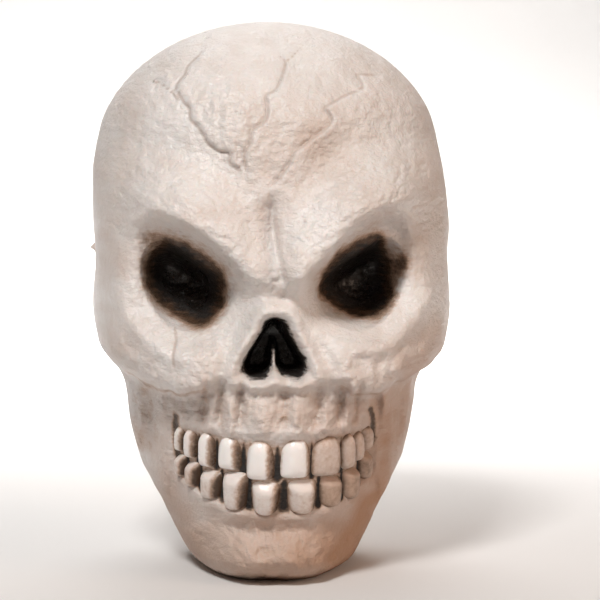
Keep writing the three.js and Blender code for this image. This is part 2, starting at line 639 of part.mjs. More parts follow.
const seatY = backBase + SEAT_DEPTH;
const boreRadius = SCREW_RADIUS + SHANK_GAP;

// One tooth: a rounded block, narrower at the gum, standing on the recess
function tooth(width, height, gumUp) {
  const neck = TOOTH_NECK * width / 2 - TOOTH_ROUND;
  const crown = width / 2 - TOOTH_ROUND;
  const bulge = TOOTH_BULGE * crown;
  const gum = (gumUp ? 1 : -1) * (height / 2 - TOOTH_ROUND);
  const shoulder = TOOTH_SHOULDER * gum;
  const arch = TOOTH_SHOULDER * neck;
  const shape = new THREE.Shape();
  shape.moveTo(-crown, -gum);
  shape.quadraticCurveTo(-bulge, 0, -neck, shoulder);
  shape.quadraticCurveTo(-arch, gum, 0, gum);
  shape.quadraticCurveTo(arch, gum, neck, shoulder);
  shape.quadraticCurveTo(bulge, 0, crown, -gum);
  shape.closePath();
  const block = new THREE.ExtrudeGeometry(shape, {
    depth: TOOTH_PROUD + TOOTH_ROOTED - TOOTH_ROUND,
    bevelEnabled: true,
    bevelThickness: TOOTH_ROUND,
    bevelSize: TOOTH_ROUND,
    bevelSegments: 1,
    curveSegments: 2,
  });
  block.translate(0, 0, -TOOTH_ROOTED);
  block.rotateX(Math.PI / 2);
  return block;
}

// A row of teeth: each starts where the last ended, measured along the curved bite
function toothRow(widths, height, gumUp, shift) {
  const row = [];
  const step = TOOTH_STEP;
  const up = gumUp ? 1 : -1;
  const front = (x) => faceDepth(x, biteLevel(x) + up * height * toothScale(x) / 2);
  for (const way of [-1, 1]) {
    let x = shift;
    const walk = (length) => {
      let left = length;
      while (left > 0) {
        const next = x + way * step;
        left -= Math.hypot(step, front(next) - front(x));
        x = next;
      }
    };
    walk(TOOTH_GAP / 2);
    for (const width of widths) {
      walk(width / 2);
      const tall = height * toothScale(x);
      const block = tooth(width, tall, gumUp);
      const turn = Math.atan2(front(x + step) - front(x - step), 2 * step);
      block.rotateZ(-turn);
      const middle = biteLevel(x) + up * (tall / 2 + TOOTH_GAP / 8);
      block.translate(x, faceBase - front(x), middle);
      row.push(solid(block));
      walk(width / 2 + TOOTH_GAP);
    }
  }
  return row;
}

// The pear-shaped nose opening, parted below by the septum
function noseCutter() {
  const low = NOSE_TOP - NOSE_HEIGHT;
  const at = ([across, up], side) => [side * across * NOSE_WIDTH / 2, low + up * NOSE_HEIGHT];
  const { apexHandle, waistHandle, lobe, lobeHandle, footHandle } = NOSE_OUTLINE;
  const foot = low + NOSE_OUTLINE.foot * NOSE_HEIGHT;
  const tip = low + SEPTUM_HEIGHT;
  const half = SEPTUM_WIDTH / 2;
  const shape = new THREE.Shape();
  shape.moveTo(0, NOSE_TOP);
  shape.bezierCurveTo(...at(apexHandle, 1), ...at(waistHandle, 1), ...at(lobe, 1));
  shape.bezierCurveTo(...at(lobeHandle, 1), ...at(footHandle, 1), half, foot);
  shape.quadraticCurveTo(half / 2, tip, 0, tip);
  shape.quadraticCurveTo(-half / 2, tip, -half, foot);
  shape.bezierCurveTo(...at(footHandle, -1), ...at(lobeHandle, -1), ...at(lobe, -1));
  shape.bezierCurveTo(...at(waistHandle, -1), ...at(apexHandle, -1), 0, NOSE_TOP);
  const pocket = new THREE.ExtrudeGeometry(shape, {
    depth: FACE_DEPTH,
    bevelEnabled: false,
    curveSegments: WIRE_SIDES,
  });
  pocket.rotateX(Math.PI / 2);
  const floor = faceBase - boneDepth(0, NOSE_TOP) - NASAL_BONE + NOSE_DEPTH;
  pocket.translate(0, floor, 0);
  return solid(pocket);
}

function faceShell() {
  const outside = solid(heightSolid({
    columns: FACE_COLUMNS,
    rows: rowsBetween(0, SKULL_HEIGHT, FACE_ROWS, CROWN_ROWS),
    base: faceBase,
    way: -1,
    wide: halfWidth,
    depth: faceDepth,
  }));
  const behind = hollowOf((x, z) => {
    const pocket = faceDepth(x, z) - pocketDepth(x, z);
    return Math.max(Math.min(pocket, socketFloor(x, z, WALL)), 0);
  });
  const hollow = solid(heightSolid({
    columns: HOLLOW_COLUMNS,
    rows: rowsBetween(WALL, SKULL_HEIGHT - WALL, HOLLOW_ROWS, HOLLOW_CROWN_ROWS),
    base: faceBase + WALL,
    way: -1,
    wide: hollowHalfWidth,
    depth: (x, z) => behind(x, z) + WALL,
  }));
  let shell = outside.subtract(hollow);
  for (const { x, z } of screwPlaces) {
    const pillar = bar(boreRadius + PILLAR_WALL, x, z, faceBase - FACE_DEPTH, faceBase);
    const bore = bar(boreRadius, x, z, seatY - SCREW_LENGTH - BORE_SPARE, faceBase + WALL);
    shell = shell.add(pillar.intersect(outside)).subtract(bore);
  }
  shell = shell.subtract(noseCutter()).subtract(socketCutter(-1)).subtract(socketCutter(1));
  const teeth = [
    ...toothRow(UPPER_WIDTHS, UPPER_TOOTH, true, UPPER_SHIFT),
    ...toothRow(LOWER_WIDTHS, LOWER_TOOTH, false, LOWER_SHIFT),
  ];
  for (const block of teeth) shell = shell.add(block);
  return geometryOf(shell);
}

// The outline at the parting plane, drawn in by some distance
function outlineShape(inset) {
  const steps = OUTLINE_STEPS;
  const side = [...Array(steps + 1).keys()].map((step) => {
    const z = SKULL_HEIGHT * Math.sin(step / steps * Math.PI / 2);
    return new THREE.Vector2(halfWidth(z), z);
  });
  const inward = side.map((point, index) => {
    const before = side[Math.max(index - 1, 0)];
    const after = side[Math.min(index + 1, steps)];
    const along = after.clone().sub(before).normalize();
    return new THREE.Vector2(point.x - along.y * inset, point.y + along.x * inset);
  }).filter((point) => point.x > inset && point.y > TONGUE_FOOT + inset);
  const footLevel = TONGUE_FOOT + inset - WALL - TONGUE_GAP;
  const foot = new THREE.Vector2(hollowHalfWidth(TONGUE_FOOT) - inset + WALL, footLevel);
  const crown = new THREE.Vector2(0, SKULL_HEIGHT - inset);
  const right = [foot, ...inward];
  const left = right.map((point) => new THREE.Vector2(-point.x, point.y)).reverse();
  return new THREE.Shape([...right, crown, ...left]);
}

// The tongue that keeps the halves in line: a ring just inside the face's wall, on a
// flange that joins it to the back half's own wall
function tongue() {
  const ring = (outer, inner, from, to) => {
    const slab = (inset, spare) => {
      const block = new THREE.ExtrudeGeometry(outlineShape(inset), {
        depth: to - from + 2 * spare,
        bevelEnabled: false,
      });
      block.rotateX(Math.PI / 2);
      block.translate(0, to + spare, 0);
      return solid(block);
    };
    return slab(outer, 0).subtract(slab(inner, CUT_SPARE));
  };
  const inner = WALL + TONGUE_GAP + TONGUE_WALL;
  const lip = ring(WALL + TONGUE_GAP, inner, backBase - TONGUE_REACH, backBase + WALL);
  const flange = ring(WALL / 2, inner, backBase, backBase + WALL);
  return lip.add(flange);
}

const flatY = backBase + BACK_DEPTH - FLAT_DEPTH;
const hangerScrewLevel = HANGER_LEVEL - STRAP_SCREW_DROP;

function boxSolid(width, length, height, x, y, z) {
  const box = new THREE.BoxGeometry(width, length, height);
  box.translate(x, y, z);
  return solid(box);
}

function craniumShell() {
  const outside = solid(heightSolid({
    columns: BACK_COLUMNS,
    rows: rowsBetween(0, SKULL_HEIGHT, BACK_ROWS, CROWN_ROWS),
    base: backBase,
    way: 1,
    wide: halfWidth,
    depth: backDepth,
  }));
  const behind = hollowOf(backDepth);
  const hollow = solid(heightSolid({
    columns: BACK_HOLLOW_COLUMNS,
    rows: rowsBetween(WALL, SKULL_HEIGHT - WALL, BACK_HOLLOW_ROWS, HOLLOW_CROWN_ROWS),
    base: backBase - WALL,
    way: 1,
    wide: hollowHalfWidth,
    depth: (x, z) => behind(x, z) + WALL,
  }));
  let shell = outside.subtract(hollow);

  // Flat for the hanger: a thicker wall inside, then a cut across the outside
  const flatHeight = FLAT_ABOVE + FLAT_BELOW;
  const flatMiddle = HANGER_LEVEL + (FLAT_ABOVE - FLAT_BELOW) / 2;
  const plateDepth = WALL + FLAT_DEPTH;
  const plateY = flatY - WALL + plateDepth / 2;
  const plateWidth = FLAT_WIDTH + 2 * WALL;
  const plateHeight = flatHeight + 2 * WALL;
  const plate = boxSolid(plateWidth, plateDepth, plateHeight, 0, plateY, flatMiddle);
  const cut = boxSolid(FLAT_WIDTH, BACK_DEPTH, flatHeight, 0, flatY + BACK_DEPTH / 2, flatMiddle);
  const screwHead = flatY + STRAP_THICKNESS + 2 * FIT_GAP;
  const hangerBore = screwHead - STRAP_SCREW_LENGTH - BORE_SPARE;
  const pillarRadius = boreRadius + PILLAR_WALL;
  const boss = bar(pillarRadius, 0, hangerScrewLevel, hangerBore - WALL, flatY - WALL / 2);
  shell = shell.add(plate.intersect(outside)).subtract(cut).add(boss);
  shell = shell.subtract(bar(boreRadius, 0, hangerScrewLevel, hangerBore, flatY + WALL));

  // Wells for the screws
  const wellRadius = HEAD_RADIUS + WELL_GAP;
  for (const { x, z } of screwPlaces) {
    const tube = bar(wellRadius + WELL_WALL, x, z, backBase, backBase + BACK_DEPTH);
    const well = bar(wellRadius, x, z, seatY, backBase + BACK_DEPTH + WALL);
    const hole = bar(boreRadius, x, z, backBase - WALL, seatY + WALL);
    shell = shell.add(tube.intersect(outside)).subtract(well).subtract(hole);
  }
  return geometryOf(shell.add(tongue()));
}

// Pan-head screw with its head's underside at y = 0 and its shank along -Y
function screwGeometry(length) {
  const profile = [
    [0, -length],
    [SCREW_RADIUS, -length + SCREW_TIP],
    [SCREW_RADIUS, 0],
    [HEAD_RADIUS, 0],
    [HEAD_RADIUS, HEAD_HEIGHT - HEAD_DOME],
    [DOME_RADIUS, HEAD_HEIGHT - DOME_FALL],
    [0, HEAD_HEIGHT],
  ].map(([radius, y]) => new THREE.Vector2(radius, y));
  let screw = solid(new THREE.LatheGeometry(profile, ROUND));
  const floor = HEAD_HEIGHT - RECESS_DEPTH / 2 + RECESS_WIDTH / 2;
  const tall = RECESS_DEPTH + RECESS_WIDTH;
  screw = screw.subtract(boxSolid(RECESS_SPAN, tall, RECESS_WIDTH, 0, floor, 0));
  screw = screw.subtract(boxSolid(RECESS_WIDTH, tall, RECESS_SPAN, 0, floor, 0));
  return geometryOf(screw);
}

// Strap: a plate on the flat with an eye rolled at its top for the ring
const strapY = flatY + FIT_GAP;
const eyeRadius = RING_WIRE + RING_GAP + EYE_WALL;
const ringY = strapY + eyeRadius;
function hangStrap() {
  const half = STRAP_WIDTH / 2;
  const end = -STRAP_LENGTH + half;
  const outline = new THREE.Shape();
  outline.moveTo(half, 0);
  outline.lineTo(-half, 0);
  outline.lineTo(-half, end);
  outline.absarc(0, end, half, Math.PI, 2 * Math.PI, false);
  outline.lineTo(half, 0);
  const plate = new THREE.ExtrudeGeometry(outline, {
    depth: STRAP_THICKNESS,
    bevelEnabled: false,
    curveSegments: ROUND,
  });
  plate.rotateX(Math.PI / 2);
  plate.translate(0, strapY + STRAP_THICKNESS, HANGER_LEVEL);
  const across = (radius, length) => {
    const pin = new THREE.CylinderGeometry(radius, radius, length, 2 * ROUND);
    pin.rotateZ(Math.PI / 2);
    pin.translate(0, ringY, HANGER_LEVEL);
    return solid(pin);
  };
  const roll = across(eyeRadius, STRAP_WIDTH);
  const bore = across(RING_WIRE + RING_GAP, STRAP_WIDTH + 2 * CUT_SPARE);
  const hole = bar(boreRadius, 0, hangerScrewLevel, strapY - WALL, strapY + WALL);
  return geometryOf(solid(plate).add(roll).subtract(bore).subtract(hole));
}

// D ring: a straight bar in the strap's eye and a bow that hangs below it
function hangRing() {
  const half = RING_INSIDE / 2 + RING_WIRE;
  const wire = new THREE.Shape();
  wire.absarc(0, 0, RING_WIRE, 0, 2 * Math.PI, false);
  const bow = new THREE.CurvePath();
  const corner = (x, z) => new THREE.Vector3(x, 0, z);
  bow.add(new THREE.LineCurve3(corner(-half, 0), corner(-half, -RING_DROP)));
  const turn = (angle) => corner(half * Math.cos(angle), -RING_DROP + half * Math.sin(angle));
  const steps = [...Array(ROUND + 1).keys()].map((step) => turn(Math.PI + Math.PI * step / ROUND));
  bow.add(new THREE.CatmullRomCurve3(steps));
  bow.add(new THREE.LineCurve3(corner(half, -RING_DROP), corner(half, 0)));
  const sweep = new THREE.ExtrudeGeometry(wire, {
    steps: 2 * ROUND,
    extrudePath: bow,
    bevelEnabled: false,
    curveSegments: WIRE_SIDES / 2,
  });
  const straight = new THREE.CylinderGeometry(RING_WIRE, RING_WIRE, 2 * half, WIRE_SIDES);
  straight.rotateZ(Math.PI / 2);
  let ring = solid(sweep).add(solid(straight));
  for (const x of [-half, half]) {
    const knuckle = new THREE.SphereGeometry(RING_WIRE, WIRE_SIDES, WIRE_SIDES / 2);
    ring = ring.add(solid(knuckle.translate(x, 0, 0)));
  }
  return geometryOf(ring);
}

const skull = new THREE.Group();
function place(name, geometry, material, x = 0, y = 0, z = 0) {
  const mesh = new THREE.Mesh(geometry, material);
  mesh.name = name;
  mesh.position.set(x, y, z);
  skull.add(mesh);
}

place('face_shell', faceShell(), bonePlastic);
place('cranium_shell', craniumShell(), bonePlastic);
screwPlaces.forEach(({ x, z }, index) => {
  place(`shell_screw_${index + 1}`, screwGeometry(SCREW_LENGTH), steel, x, seatY + FIT_GAP, z);
});
place('hang_strap', hangStrap(), zincSteel);
place('hang_ring', hangRing(), zincSteel, 0, ringY, HANGER_LEVEL);
const strapFront = strapY + STRAP_THICKNESS + FIT_GAP;
place('hanger_screw', screwGeometry(STRAP_SCREW_LENGTH), steel, 0, strapFront, hangerScrewLevel);

export default skull;
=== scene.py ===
# %% [markdown]
# # A plastic Halloween skull
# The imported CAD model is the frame: it holds every piece in its place and stays as it is.
# This lesson dresses it. Each piece of the skull is a surface worked out with numpy, and each
# finish is a small node tree. All lengths in the formulas are millimetres, and the last step of
# each piece turns them into Blender's metres.

# %% load the frame
import math

import bpy
import numpy as np
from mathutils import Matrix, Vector


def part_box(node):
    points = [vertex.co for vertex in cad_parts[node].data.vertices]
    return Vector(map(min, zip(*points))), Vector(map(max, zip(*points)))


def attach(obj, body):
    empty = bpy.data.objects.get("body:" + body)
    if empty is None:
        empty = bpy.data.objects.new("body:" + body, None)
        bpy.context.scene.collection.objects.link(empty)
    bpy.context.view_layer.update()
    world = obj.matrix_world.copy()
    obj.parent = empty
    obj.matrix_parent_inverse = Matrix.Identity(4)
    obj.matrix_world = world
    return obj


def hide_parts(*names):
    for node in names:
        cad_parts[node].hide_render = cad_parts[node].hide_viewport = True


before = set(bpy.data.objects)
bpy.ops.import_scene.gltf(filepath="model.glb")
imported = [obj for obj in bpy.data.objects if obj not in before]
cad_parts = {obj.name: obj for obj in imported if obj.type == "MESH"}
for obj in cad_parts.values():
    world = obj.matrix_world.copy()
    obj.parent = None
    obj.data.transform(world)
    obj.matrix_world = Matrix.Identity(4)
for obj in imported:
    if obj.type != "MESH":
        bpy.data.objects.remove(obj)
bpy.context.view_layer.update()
MM = 0.001
TINY = 1e-6

# %% [markdown]
# ## The camera
# The photograph looks at the face almost straight on, from a little to its left and a little
# above. A long lens at 0.9 m gives the same flat perspective. The skull stands left of the
# middle of the picture, and a small lens shift moves the view instead of turning the camera.

# %% camera
IMAGE_SIZE = 600
MIDDLE_PIXEL = (270.5, 296.5)
VIEW_DISTANCE = 0.9
VIEW_TURN = math.radians(-2.5)
VIEW_RISE = math.radians(3.0)
PIXELS_PER_METRE = 2395
SENSOR = 36.0
view_middle = Vector((0, -0.045, 0.114))
view_back = Vector((math.sin(VIEW_TURN) * math.cos(VIEW_RISE),
                    -math.cos(VIEW_TURN) * math.cos(VIEW_RISE), math.sin(VIEW_RISE)))

lens = bpy.data.cameras.new("photo_camera")
lens.sensor_width = SENSOR
lens.lens = PIXELS_PER_METRE * VIEW_DISTANCE * SENSOR / IMAGE_SIZE
lens.shift_x = 0.5 - MIDDLE_PIXEL[0] / IMAGE_SIZE
lens.shift_y = MIDDLE_PIXEL[1] / IMAGE_SIZE - 0.5
camera = bpy.data.objects.new("photo_camera", lens)
camera.location = view_middle + view_back * VIEW_DISTANCE
camera.rotation_euler = view_back.to_track_quat("Z", "Y").to_euler()
bpy.context.scene.collection.objects.link(camera)
bpy.context.scene.camera = camera
print("camera: lens", round(lens.lens, 1), "mm")

# %% [markdown]
# ## From a grid to a closed mesh
# A moulded half is a sheet of points, bent to shape, with a flat back. The helper takes the
# sheet as rows of points, joins neighbours into squares, and closes it: a ladder of squares
# across the back, one flat face along the first row, and one along the last row, unless that
# row has run together into a single point, as at the crown.

# %% closed sheet
def closed_sheet(name, sheet, outward=1, pole=False, fields=None):
    """A solid from rows x columns points: squares in front, a ladder behind, flat ends."""
    rows, columns = sheet.shape[:2]
    body_rows = rows - 1 if pole else rows
    points = sheet[:body_rows].reshape(-1, 3)
    index = np.arange(body_rows * columns).reshape(body_rows, columns)
    front = np.stack([index[:-1, :-1], index[:-1, 1:], index[1:, 1:], index[1:, :-1]], -1).reshape(-1, 4)
    back = np.stack([index[:-1, 0], index[1:, 0], index[1:, -1], index[:-1, -1]], -1)
    faces = front.tolist()
    smooth = [True] * len(faces)
    if pole:
        tip = len(points)
        points = np.vstack([points, sheet[-1, 0][None]])
        fan = np.stack([index[-1, :-1], index[-1, 1:], np.full(columns - 1, tip)], -1).tolist()
        faces += fan
        smooth += [True] * len(fan)
        closing = [[int(index[-1, 0]), tip, int(index[-1, -1])]]
    else:
        closing = [index[-1].tolist()]
    closing += back.tolist() + [index[0, ::-1].tolist()]
    faces += closing
    smooth += [False] * len(closing)
    if outward < 0:
        faces = [face[::-1] for face in faces]
    mesh = bpy.data.meshes.new(name)
    mesh.from_pydata((points * MM).tolist(), [], faces)
    mesh.polygons.foreach_set("use_smooth", smooth)
    for label, values in (fields or {}).items():
        flat = values[:body_rows].reshape(-1)
        flat = np.append(flat, values[-1, 0]) if pole else flat
        mesh.attributes.new(label, "FLOAT", "POINT").data.foreach_set("value", flat.astype(np.float32))
    mesh.update()
    piece = bpy.data.objects.new(name, mesh)
    bpy.context.scene.collection.objects.link(piece)
    print(name, "has", sum(len(face) - 2 for face in faces), "triangles")
    return piece


def packed(count, evenness):
    """Steps from -1 to 1 that crowd towards both ends: the sine of an eased even step."""
    share = np.linspace(-1, 1, count)
    return np.sin(np.pi / 2 * share * (evenness + (1 - evenness) * share ** 2))


# %% [markdown]
# ## The loft that carries both halves
# A skull has no single curve. Its outline is read as level sections from the chin to the crown,
# and a smooth curve runs through them: half width, depth of the face, depth of the back, and two
# powers that make a section rounder or squarer. They are the same sections that the CAD uses, as
# shares of its height, width and depth, so that this surface lies on the CAD's. Only on the right,
# below the temples, the outline is a few millimetres fuller, as the photograph shows it.

# %% sections
face_high = np.array(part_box("face_shell")[1]) / MM
HEIGHT = face_high[2]
WIDTH = 150.0
FACE_DEPTH = 85.0
BACK_DEPTH = 90.0
FIT_GAP = 0.3
FACE_PLANE = face_high[1]
BACK_PLANE = FACE_PLANE + FIT_GAP
# height, half width, face, back, fullness, roundness
SECTIONS = np.array([
    (0.000, 0.386, 0.706, 0.420, 2.70, 1.70), (0.017, 0.452, 0.812, 0.430, 2.70, 1.70),
    (0.052, 0.519, 0.882, 0.440, 2.60, 1.60), (0.113, 0.612, 0.894, 0.470, 2.40, 1.45),
    (0.196, 0.738, 0.976, 0.550, 2.05, 1.25), (0.270, 0.791, 1.000, 0.670, 2.00, 1.25),
    (0.322, 0.811, 0.988, 0.780, 2.10, 1.30), (0.348, 0.838, 0.976, 0.830, 2.30, 1.45),
    (0.374, 0.898, 0.953, 0.870, 2.80, 1.75), (0.413, 0.971, 0.929, 0.920, 3.10, 1.85),
    (0.478, 1.000, 0.906, 0.965, 3.30, 1.90), (0.565, 0.984, 0.912, 0.995, 3.40, 2.00),
    (0.643, 0.997, 0.929, 1.000, 3.00, 2.00), (0.717, 0.997, 0.918, 0.978, 2.60, 2.00),
    (0.791, 0.965, 0.868, 0.908, 2.40, 2.00), (0.861, 0.878, 0.765, 0.785, 2.30, 2.00)])
LEVEL, WIDE, FACE, BACK, FULLNESS, ROUNDNESS = range(6)
CROWN_BEND = 1.6


def ease(low, high, value):
    """Goes from 0 at low to 1 at high along a smooth S."""
    share = np.clip((value - low) / (high - low), 0, 1)
    return share * share * (3 - 2 * share)


def bell(value):
    """A soft hump: 1 at zero, falling as e to the minus square."""
    return np.exp(-np.square(value))


def between(low, high, blend, value):
    """1 from low to high, easing to 0 over the blend on both sides."""
    return ease(low - blend, low, value) * (1 - ease(high, high + blend, value))


def through(places, values, at, end_bend=1.0):
    """A cubic through the values that never overshoots: each slope is the harmonic mean beside it."""
    span = np.diff(places)
    slope = np.diff(values) / span
    bend = np.concatenate([[slope[0]], np.zeros(len(slope) - 1), [end_bend * slope[-1]]])
    total = slope[:-1] + slope[1:]
    same_way = slope[:-1] * slope[1:] > 0
    bend[1:-1] = np.where(same_way, 2 * slope[:-1] * slope[1:] / np.where(same_way, total, 1), 0)
    cell = np.clip(np.searchsorted(places, at) - 1, 0, len(span) - 1)
    t = np.clip((at - places[cell]) / span[cell], 0, 1)
    line = values[cell] * (1 + 2 * t) * (1 - t) ** 2 + values[cell + 1] * t * t * (3 - 2 * t)
    return line + span[cell] * t * (1 - t) * (bend[cell] * (1 - t) - bend[cell + 1] * t)


def section(column, z):
    """The sections' curve at a height."""
    return through(SECTIONS[:, LEVEL], SECTIONS[:, column], z / HEIGHT, CROWN_BEND)


def loft(column, z):
    """The sections' curve; above the last one the square of the size falls as a parabola to the crown."""
    top, below = SECTIONS[-1], SECTIONS[-2]
    left = 1 - top[LEVEL]
    t = np.clip((z / HEIGHT - top[LEVEL]) / left, 0, 1)
    first = 2 * top[column] * CROWN_BEND * (top[column] - below[column]) / (top[LEVEL] - below[LEVEL]) * left
    dome = np.sqrt(np.maximum(top[column] ** 2 + first * t - (top[column] ** 2 + first) * t * t, 0))
    return np.where(z / HEIGHT > top[LEVEL], dome, section(column, z))


def half_width(z):
    """Half the outline's width at a height."""
    return loft(WIDE, z) * WIDTH / 2


def outline_share(x, z):
    """How far out a place lies: 0 on the midline, 1 on the right outline, -1 on the left one."""
    return x / np.maximum(half_width(z), TINY)


RIGHT_FULLER = 3.2


def fuller(x, z):
    """x moved outwards on the right, below the temples, where the moulding is wider than on the left."""
    return x + RIGHT_FULLER * ease(0.62, 1.0, outline_share(x, z)) * (1 - ease(138, 168, z))


print("outline at the cheekbones:", round(float(2 * half_width(np.array(110.0))), 1), "mm wide")

# %% [markdown]
# ## Lines drawn on the skull
# Brows, cracks, creases and sutures are all lines. A line is a handful of points with a smooth
# curve through them, and each place on the face asks how far the line is, on which side, and how
# far along. Those three answers shape ridges, grooves and steps.

# %% lines
def smooth_line(points, steps=8, closed=False):
    """A curve through the points whose slope at each is half the step from its neighbours."""
    p = np.asarray(points, float)
    p = np.vstack([p[-1], p, p[:2]]) if closed else np.vstack([2 * p[0] - p[1], p, 2 * p[-1] - p[-2]])
    a, b, c, d = p[:-3, None], p[1:-2, None], p[2:-1, None], p[3:, None]
    t = (np.arange(steps) / steps)[None, :, None]
    bend, twist = a - 2.5 * b + 2 * c - d / 2, 1.5 * (b - c) + (d - a) / 2
    curve = b + (c - a) / 2 * t + bend * t ** 2 + twist * t ** 3
    return np.vstack([curve.reshape(-1, 2), p[-2]])


def line_field(x, z, line):
    """Distance to the line's nearest stretch, its side (+1 left of the way it runs), share along it."""
    start, step = line[:-1], np.diff(line, axis=0)
    length = np.maximum(np.hypot(step[:, 0], step[:, 1]), TINY)
    before = np.concatenate([[0], np.cumsum(length)])
    nearest = np.full(np.shape(x), np.inf)
    side = np.zeros(np.shape(x))
    share = np.zeros(np.shape(x))
    for (x0, z0), (dx, dz), long, gone in zip(start, step, length, before):
        t = np.clip(((x - x0) * dx + (z - z0) * dz) / long ** 2, 0, 1)
        off_x, off_z = x - x0 - t * dx, z - z0 - t * dz
        away = np.hypot(off_x, off_z)
        closer = away < nearest
        nearest = np.where(closer, away, nearest)
        side = np.where(closer, np.sign(dx * off_z - dz * off_x), side)
        share = np.where(closer, (gone + t * long) / before[-1], share)
    return nearest, side, share


def inside_by(x, z, outline):
    """Distance inside a closed outline, negative outside: nearest edge, signed by counting crossings."""
    nearest = line_field(x, z, outline)[0]
    crossings = np.zeros(np.shape(x), int)
    for (x0, z0), (x1, z1) in zip(outline[:-1], outline[1:]):
        spans = (z0 > z) != (z1 > z)
        slant = (x1 - x0) / (z1 - z0) if z1 != z0 else 0.0
        crossings += spans & (x < x0 + slant * (z - z0))
    return np.where(crossings % 2 == 1, nearest, -nearest)


def lumps(u, v, seed):
    """Smooth noise from -1 to 1: a number hashed at each whole step, eased between its four corners."""
    cell_u, cell_v = np.floor(u).astype(np.int64), np.floor(v).astype(np.int64)
    part_u, part_v = u - cell_u, v - cell_v
    ease_u = part_u * part_u * (3 - 2 * part_u)
    ease_v = part_v * part_v * (3 - 2 * part_v)

    def corner(du, dv):
        mixed = (cell_u + du) * 374761393 + (cell_v + dv) * 668265263 + seed * 974711
        mixed = ((mixed ^ (mixed >> 13)) * 1274126177) & 0x7FFFFFFF
        return ((mixed ^ (mixed >> 16)) & 0xFFFF) / 32767.5 - 1
    low = corner(0, 0) * (1 - ease_u) + corner(1, 0) * ease_u
    high = corner(0, 1) * (1 - ease_u) + corner(1, 1) * ease_u
    return low * (1 - ease_v) + high * ease_v


print("line helpers ready")

# %% [markdown]
# ## Bone, cheekbones and chin
# The face is one moulding, so its shape is one depth in front of the parting plane for every place
# across and up. It starts from the bare bone of the loft and adds forms to it one by one: the
# cheekbone's rolled and wavy lower edge, the cords of the jaw beside the mouth, the hollow of the
# temple, and the ball of the chin. Each form is a height in millimetres times soft humps across and up.

# %% bone
CHEEK_EDGE = 78.5
CHEEK_MIDDLE = 37.5
CHEEK_PROUD, CHEEK_HOLLOW = 8.0, 3.8
STRAND_PROUD, FURROW_DEPTH, OUTER_PROUD = 4.4, 3.0, 2.4
ARCH_PROUD, TEMPLE_DEPTH, POCKET_DEPTH, CORNER_PROUD = 4.5, 6.5, 3.0, 3.0
CHIN_PROUD, CHIN_CORNER, LIP_DEPTH, NOTCH_DEPTH, DIMPLE_DEPTH = 5.2, 2.6, 4.2, 3.0, 3.0
DIMPLE_X, DIMPLE_Z, DIMPLE_TALL = -4.0, 14.5, 2.2


def bone(x, z):
    """Depth times (1 - (x / half width) ^ fullness) ^ (1 / roundness), sagging under the cheekbone."""
    side = np.abs(x)
    sag = 5.0 * bell((side - CHEEK_MIDDLE) / 15.6) - 6.5 * (1 - ease(9, 22, side))
    level = z + sag * between(CHEEK_EDGE - 5, CHEEK_EDGE + 15, 12, z)
    level = np.minimum(level, SECTIONS[-1, LEVEL] * HEIGHT)
    share = np.clip(outline_share(side, z), 0, 1)
    body = np.maximum(1 - share ** section(FULLNESS, level), 0)
    return loft(FACE, z) * FACE_DEPTH * body ** (1 / section(ROUNDNESS, level))


def above_cheek_edge(x, z):
    """Height above the cheekbone's wavy lower edge."""
    side = np.abs(x)
    edge = CHEEK_EDGE + 5.5 * ease(40, 66, side) + 7.0 * (1 - ease(16, 36, side))
    return z - edge - 1.8 * lumps(x / 6, z / 30, 3) - 0.9 * lumps(x / 2.6, z / 20, 5)


def cheeks(x, z):
    """A bell along the cheekbone's lower edge, a hollow under it, and upright cords on the jaw."""
    side = np.abs(x)
    above = above_cheek_edge(x, z)
    roll = np.where(above > 0, bell((above - 4) / 8.5), bell(4 / 8.5) * bell(above / 1.6))
    knobs = 1 + 0.16 * lumps(x / 5, z / 4, 6) + 0.1 * lumps(x / 2.4, z / 2.2, 7)
    pad = CHEEK_PROUD * roll * ease(15, 30, side) * knobs
    hollow = CHEEK_HOLLOW * bell((above + 3.6) / 3.4) * ease(20, 36, side)
    strand_x = 45.5 + 0.03 * (z - 50)
    strand = STRAND_PROUD * bell((side - strand_x) / 2.7) * ease(20, 36, z) * (1 - ease(72, 82, z))
    furrow = FURROW_DEPTH * bell((side - 51.0) / 3.0) * ease(36, 54, z) * (1 - ease(70, 78, z))
    outer = OUTER_PROUD * bell((side - 56.5) / 2.6) * ease(44, 58, z) * (1 - ease(72, 80, z))
    cords = 2.0 * lumps(x / 3.0, z / 24, 8) + 1.0 * lumps(x / 1.6, z / 9, 9)
    cords = cords * between(30, 74, 8, z) * ease(39, 45, side)
    return pad - hollow + strand - furrow + outer + cords


def sides(x, z):
    """Towards the outline: the temple's hollow, the cheekbone's arch, a pocket and the jaw's corner."""
    near = outline_share(np.abs(x), z)
    temple = TEMPLE_DEPTH * bell((near - 0.86) / 0.1) * bell((z - 147) / 12)
    arch = ARCH_PROUD * bell((near - 0.9) / 0.09) * bell((z - 101) / 7)
    pocket = POCKET_DEPTH * bell((near - 0.88) / 0.1) * bell((z - 72) / 11)
    corner = CORNER_PROUD * bell((near - 0.9) / 0.07) * bell((z - 38) / 12)
    return arch + corner - temple - pocket


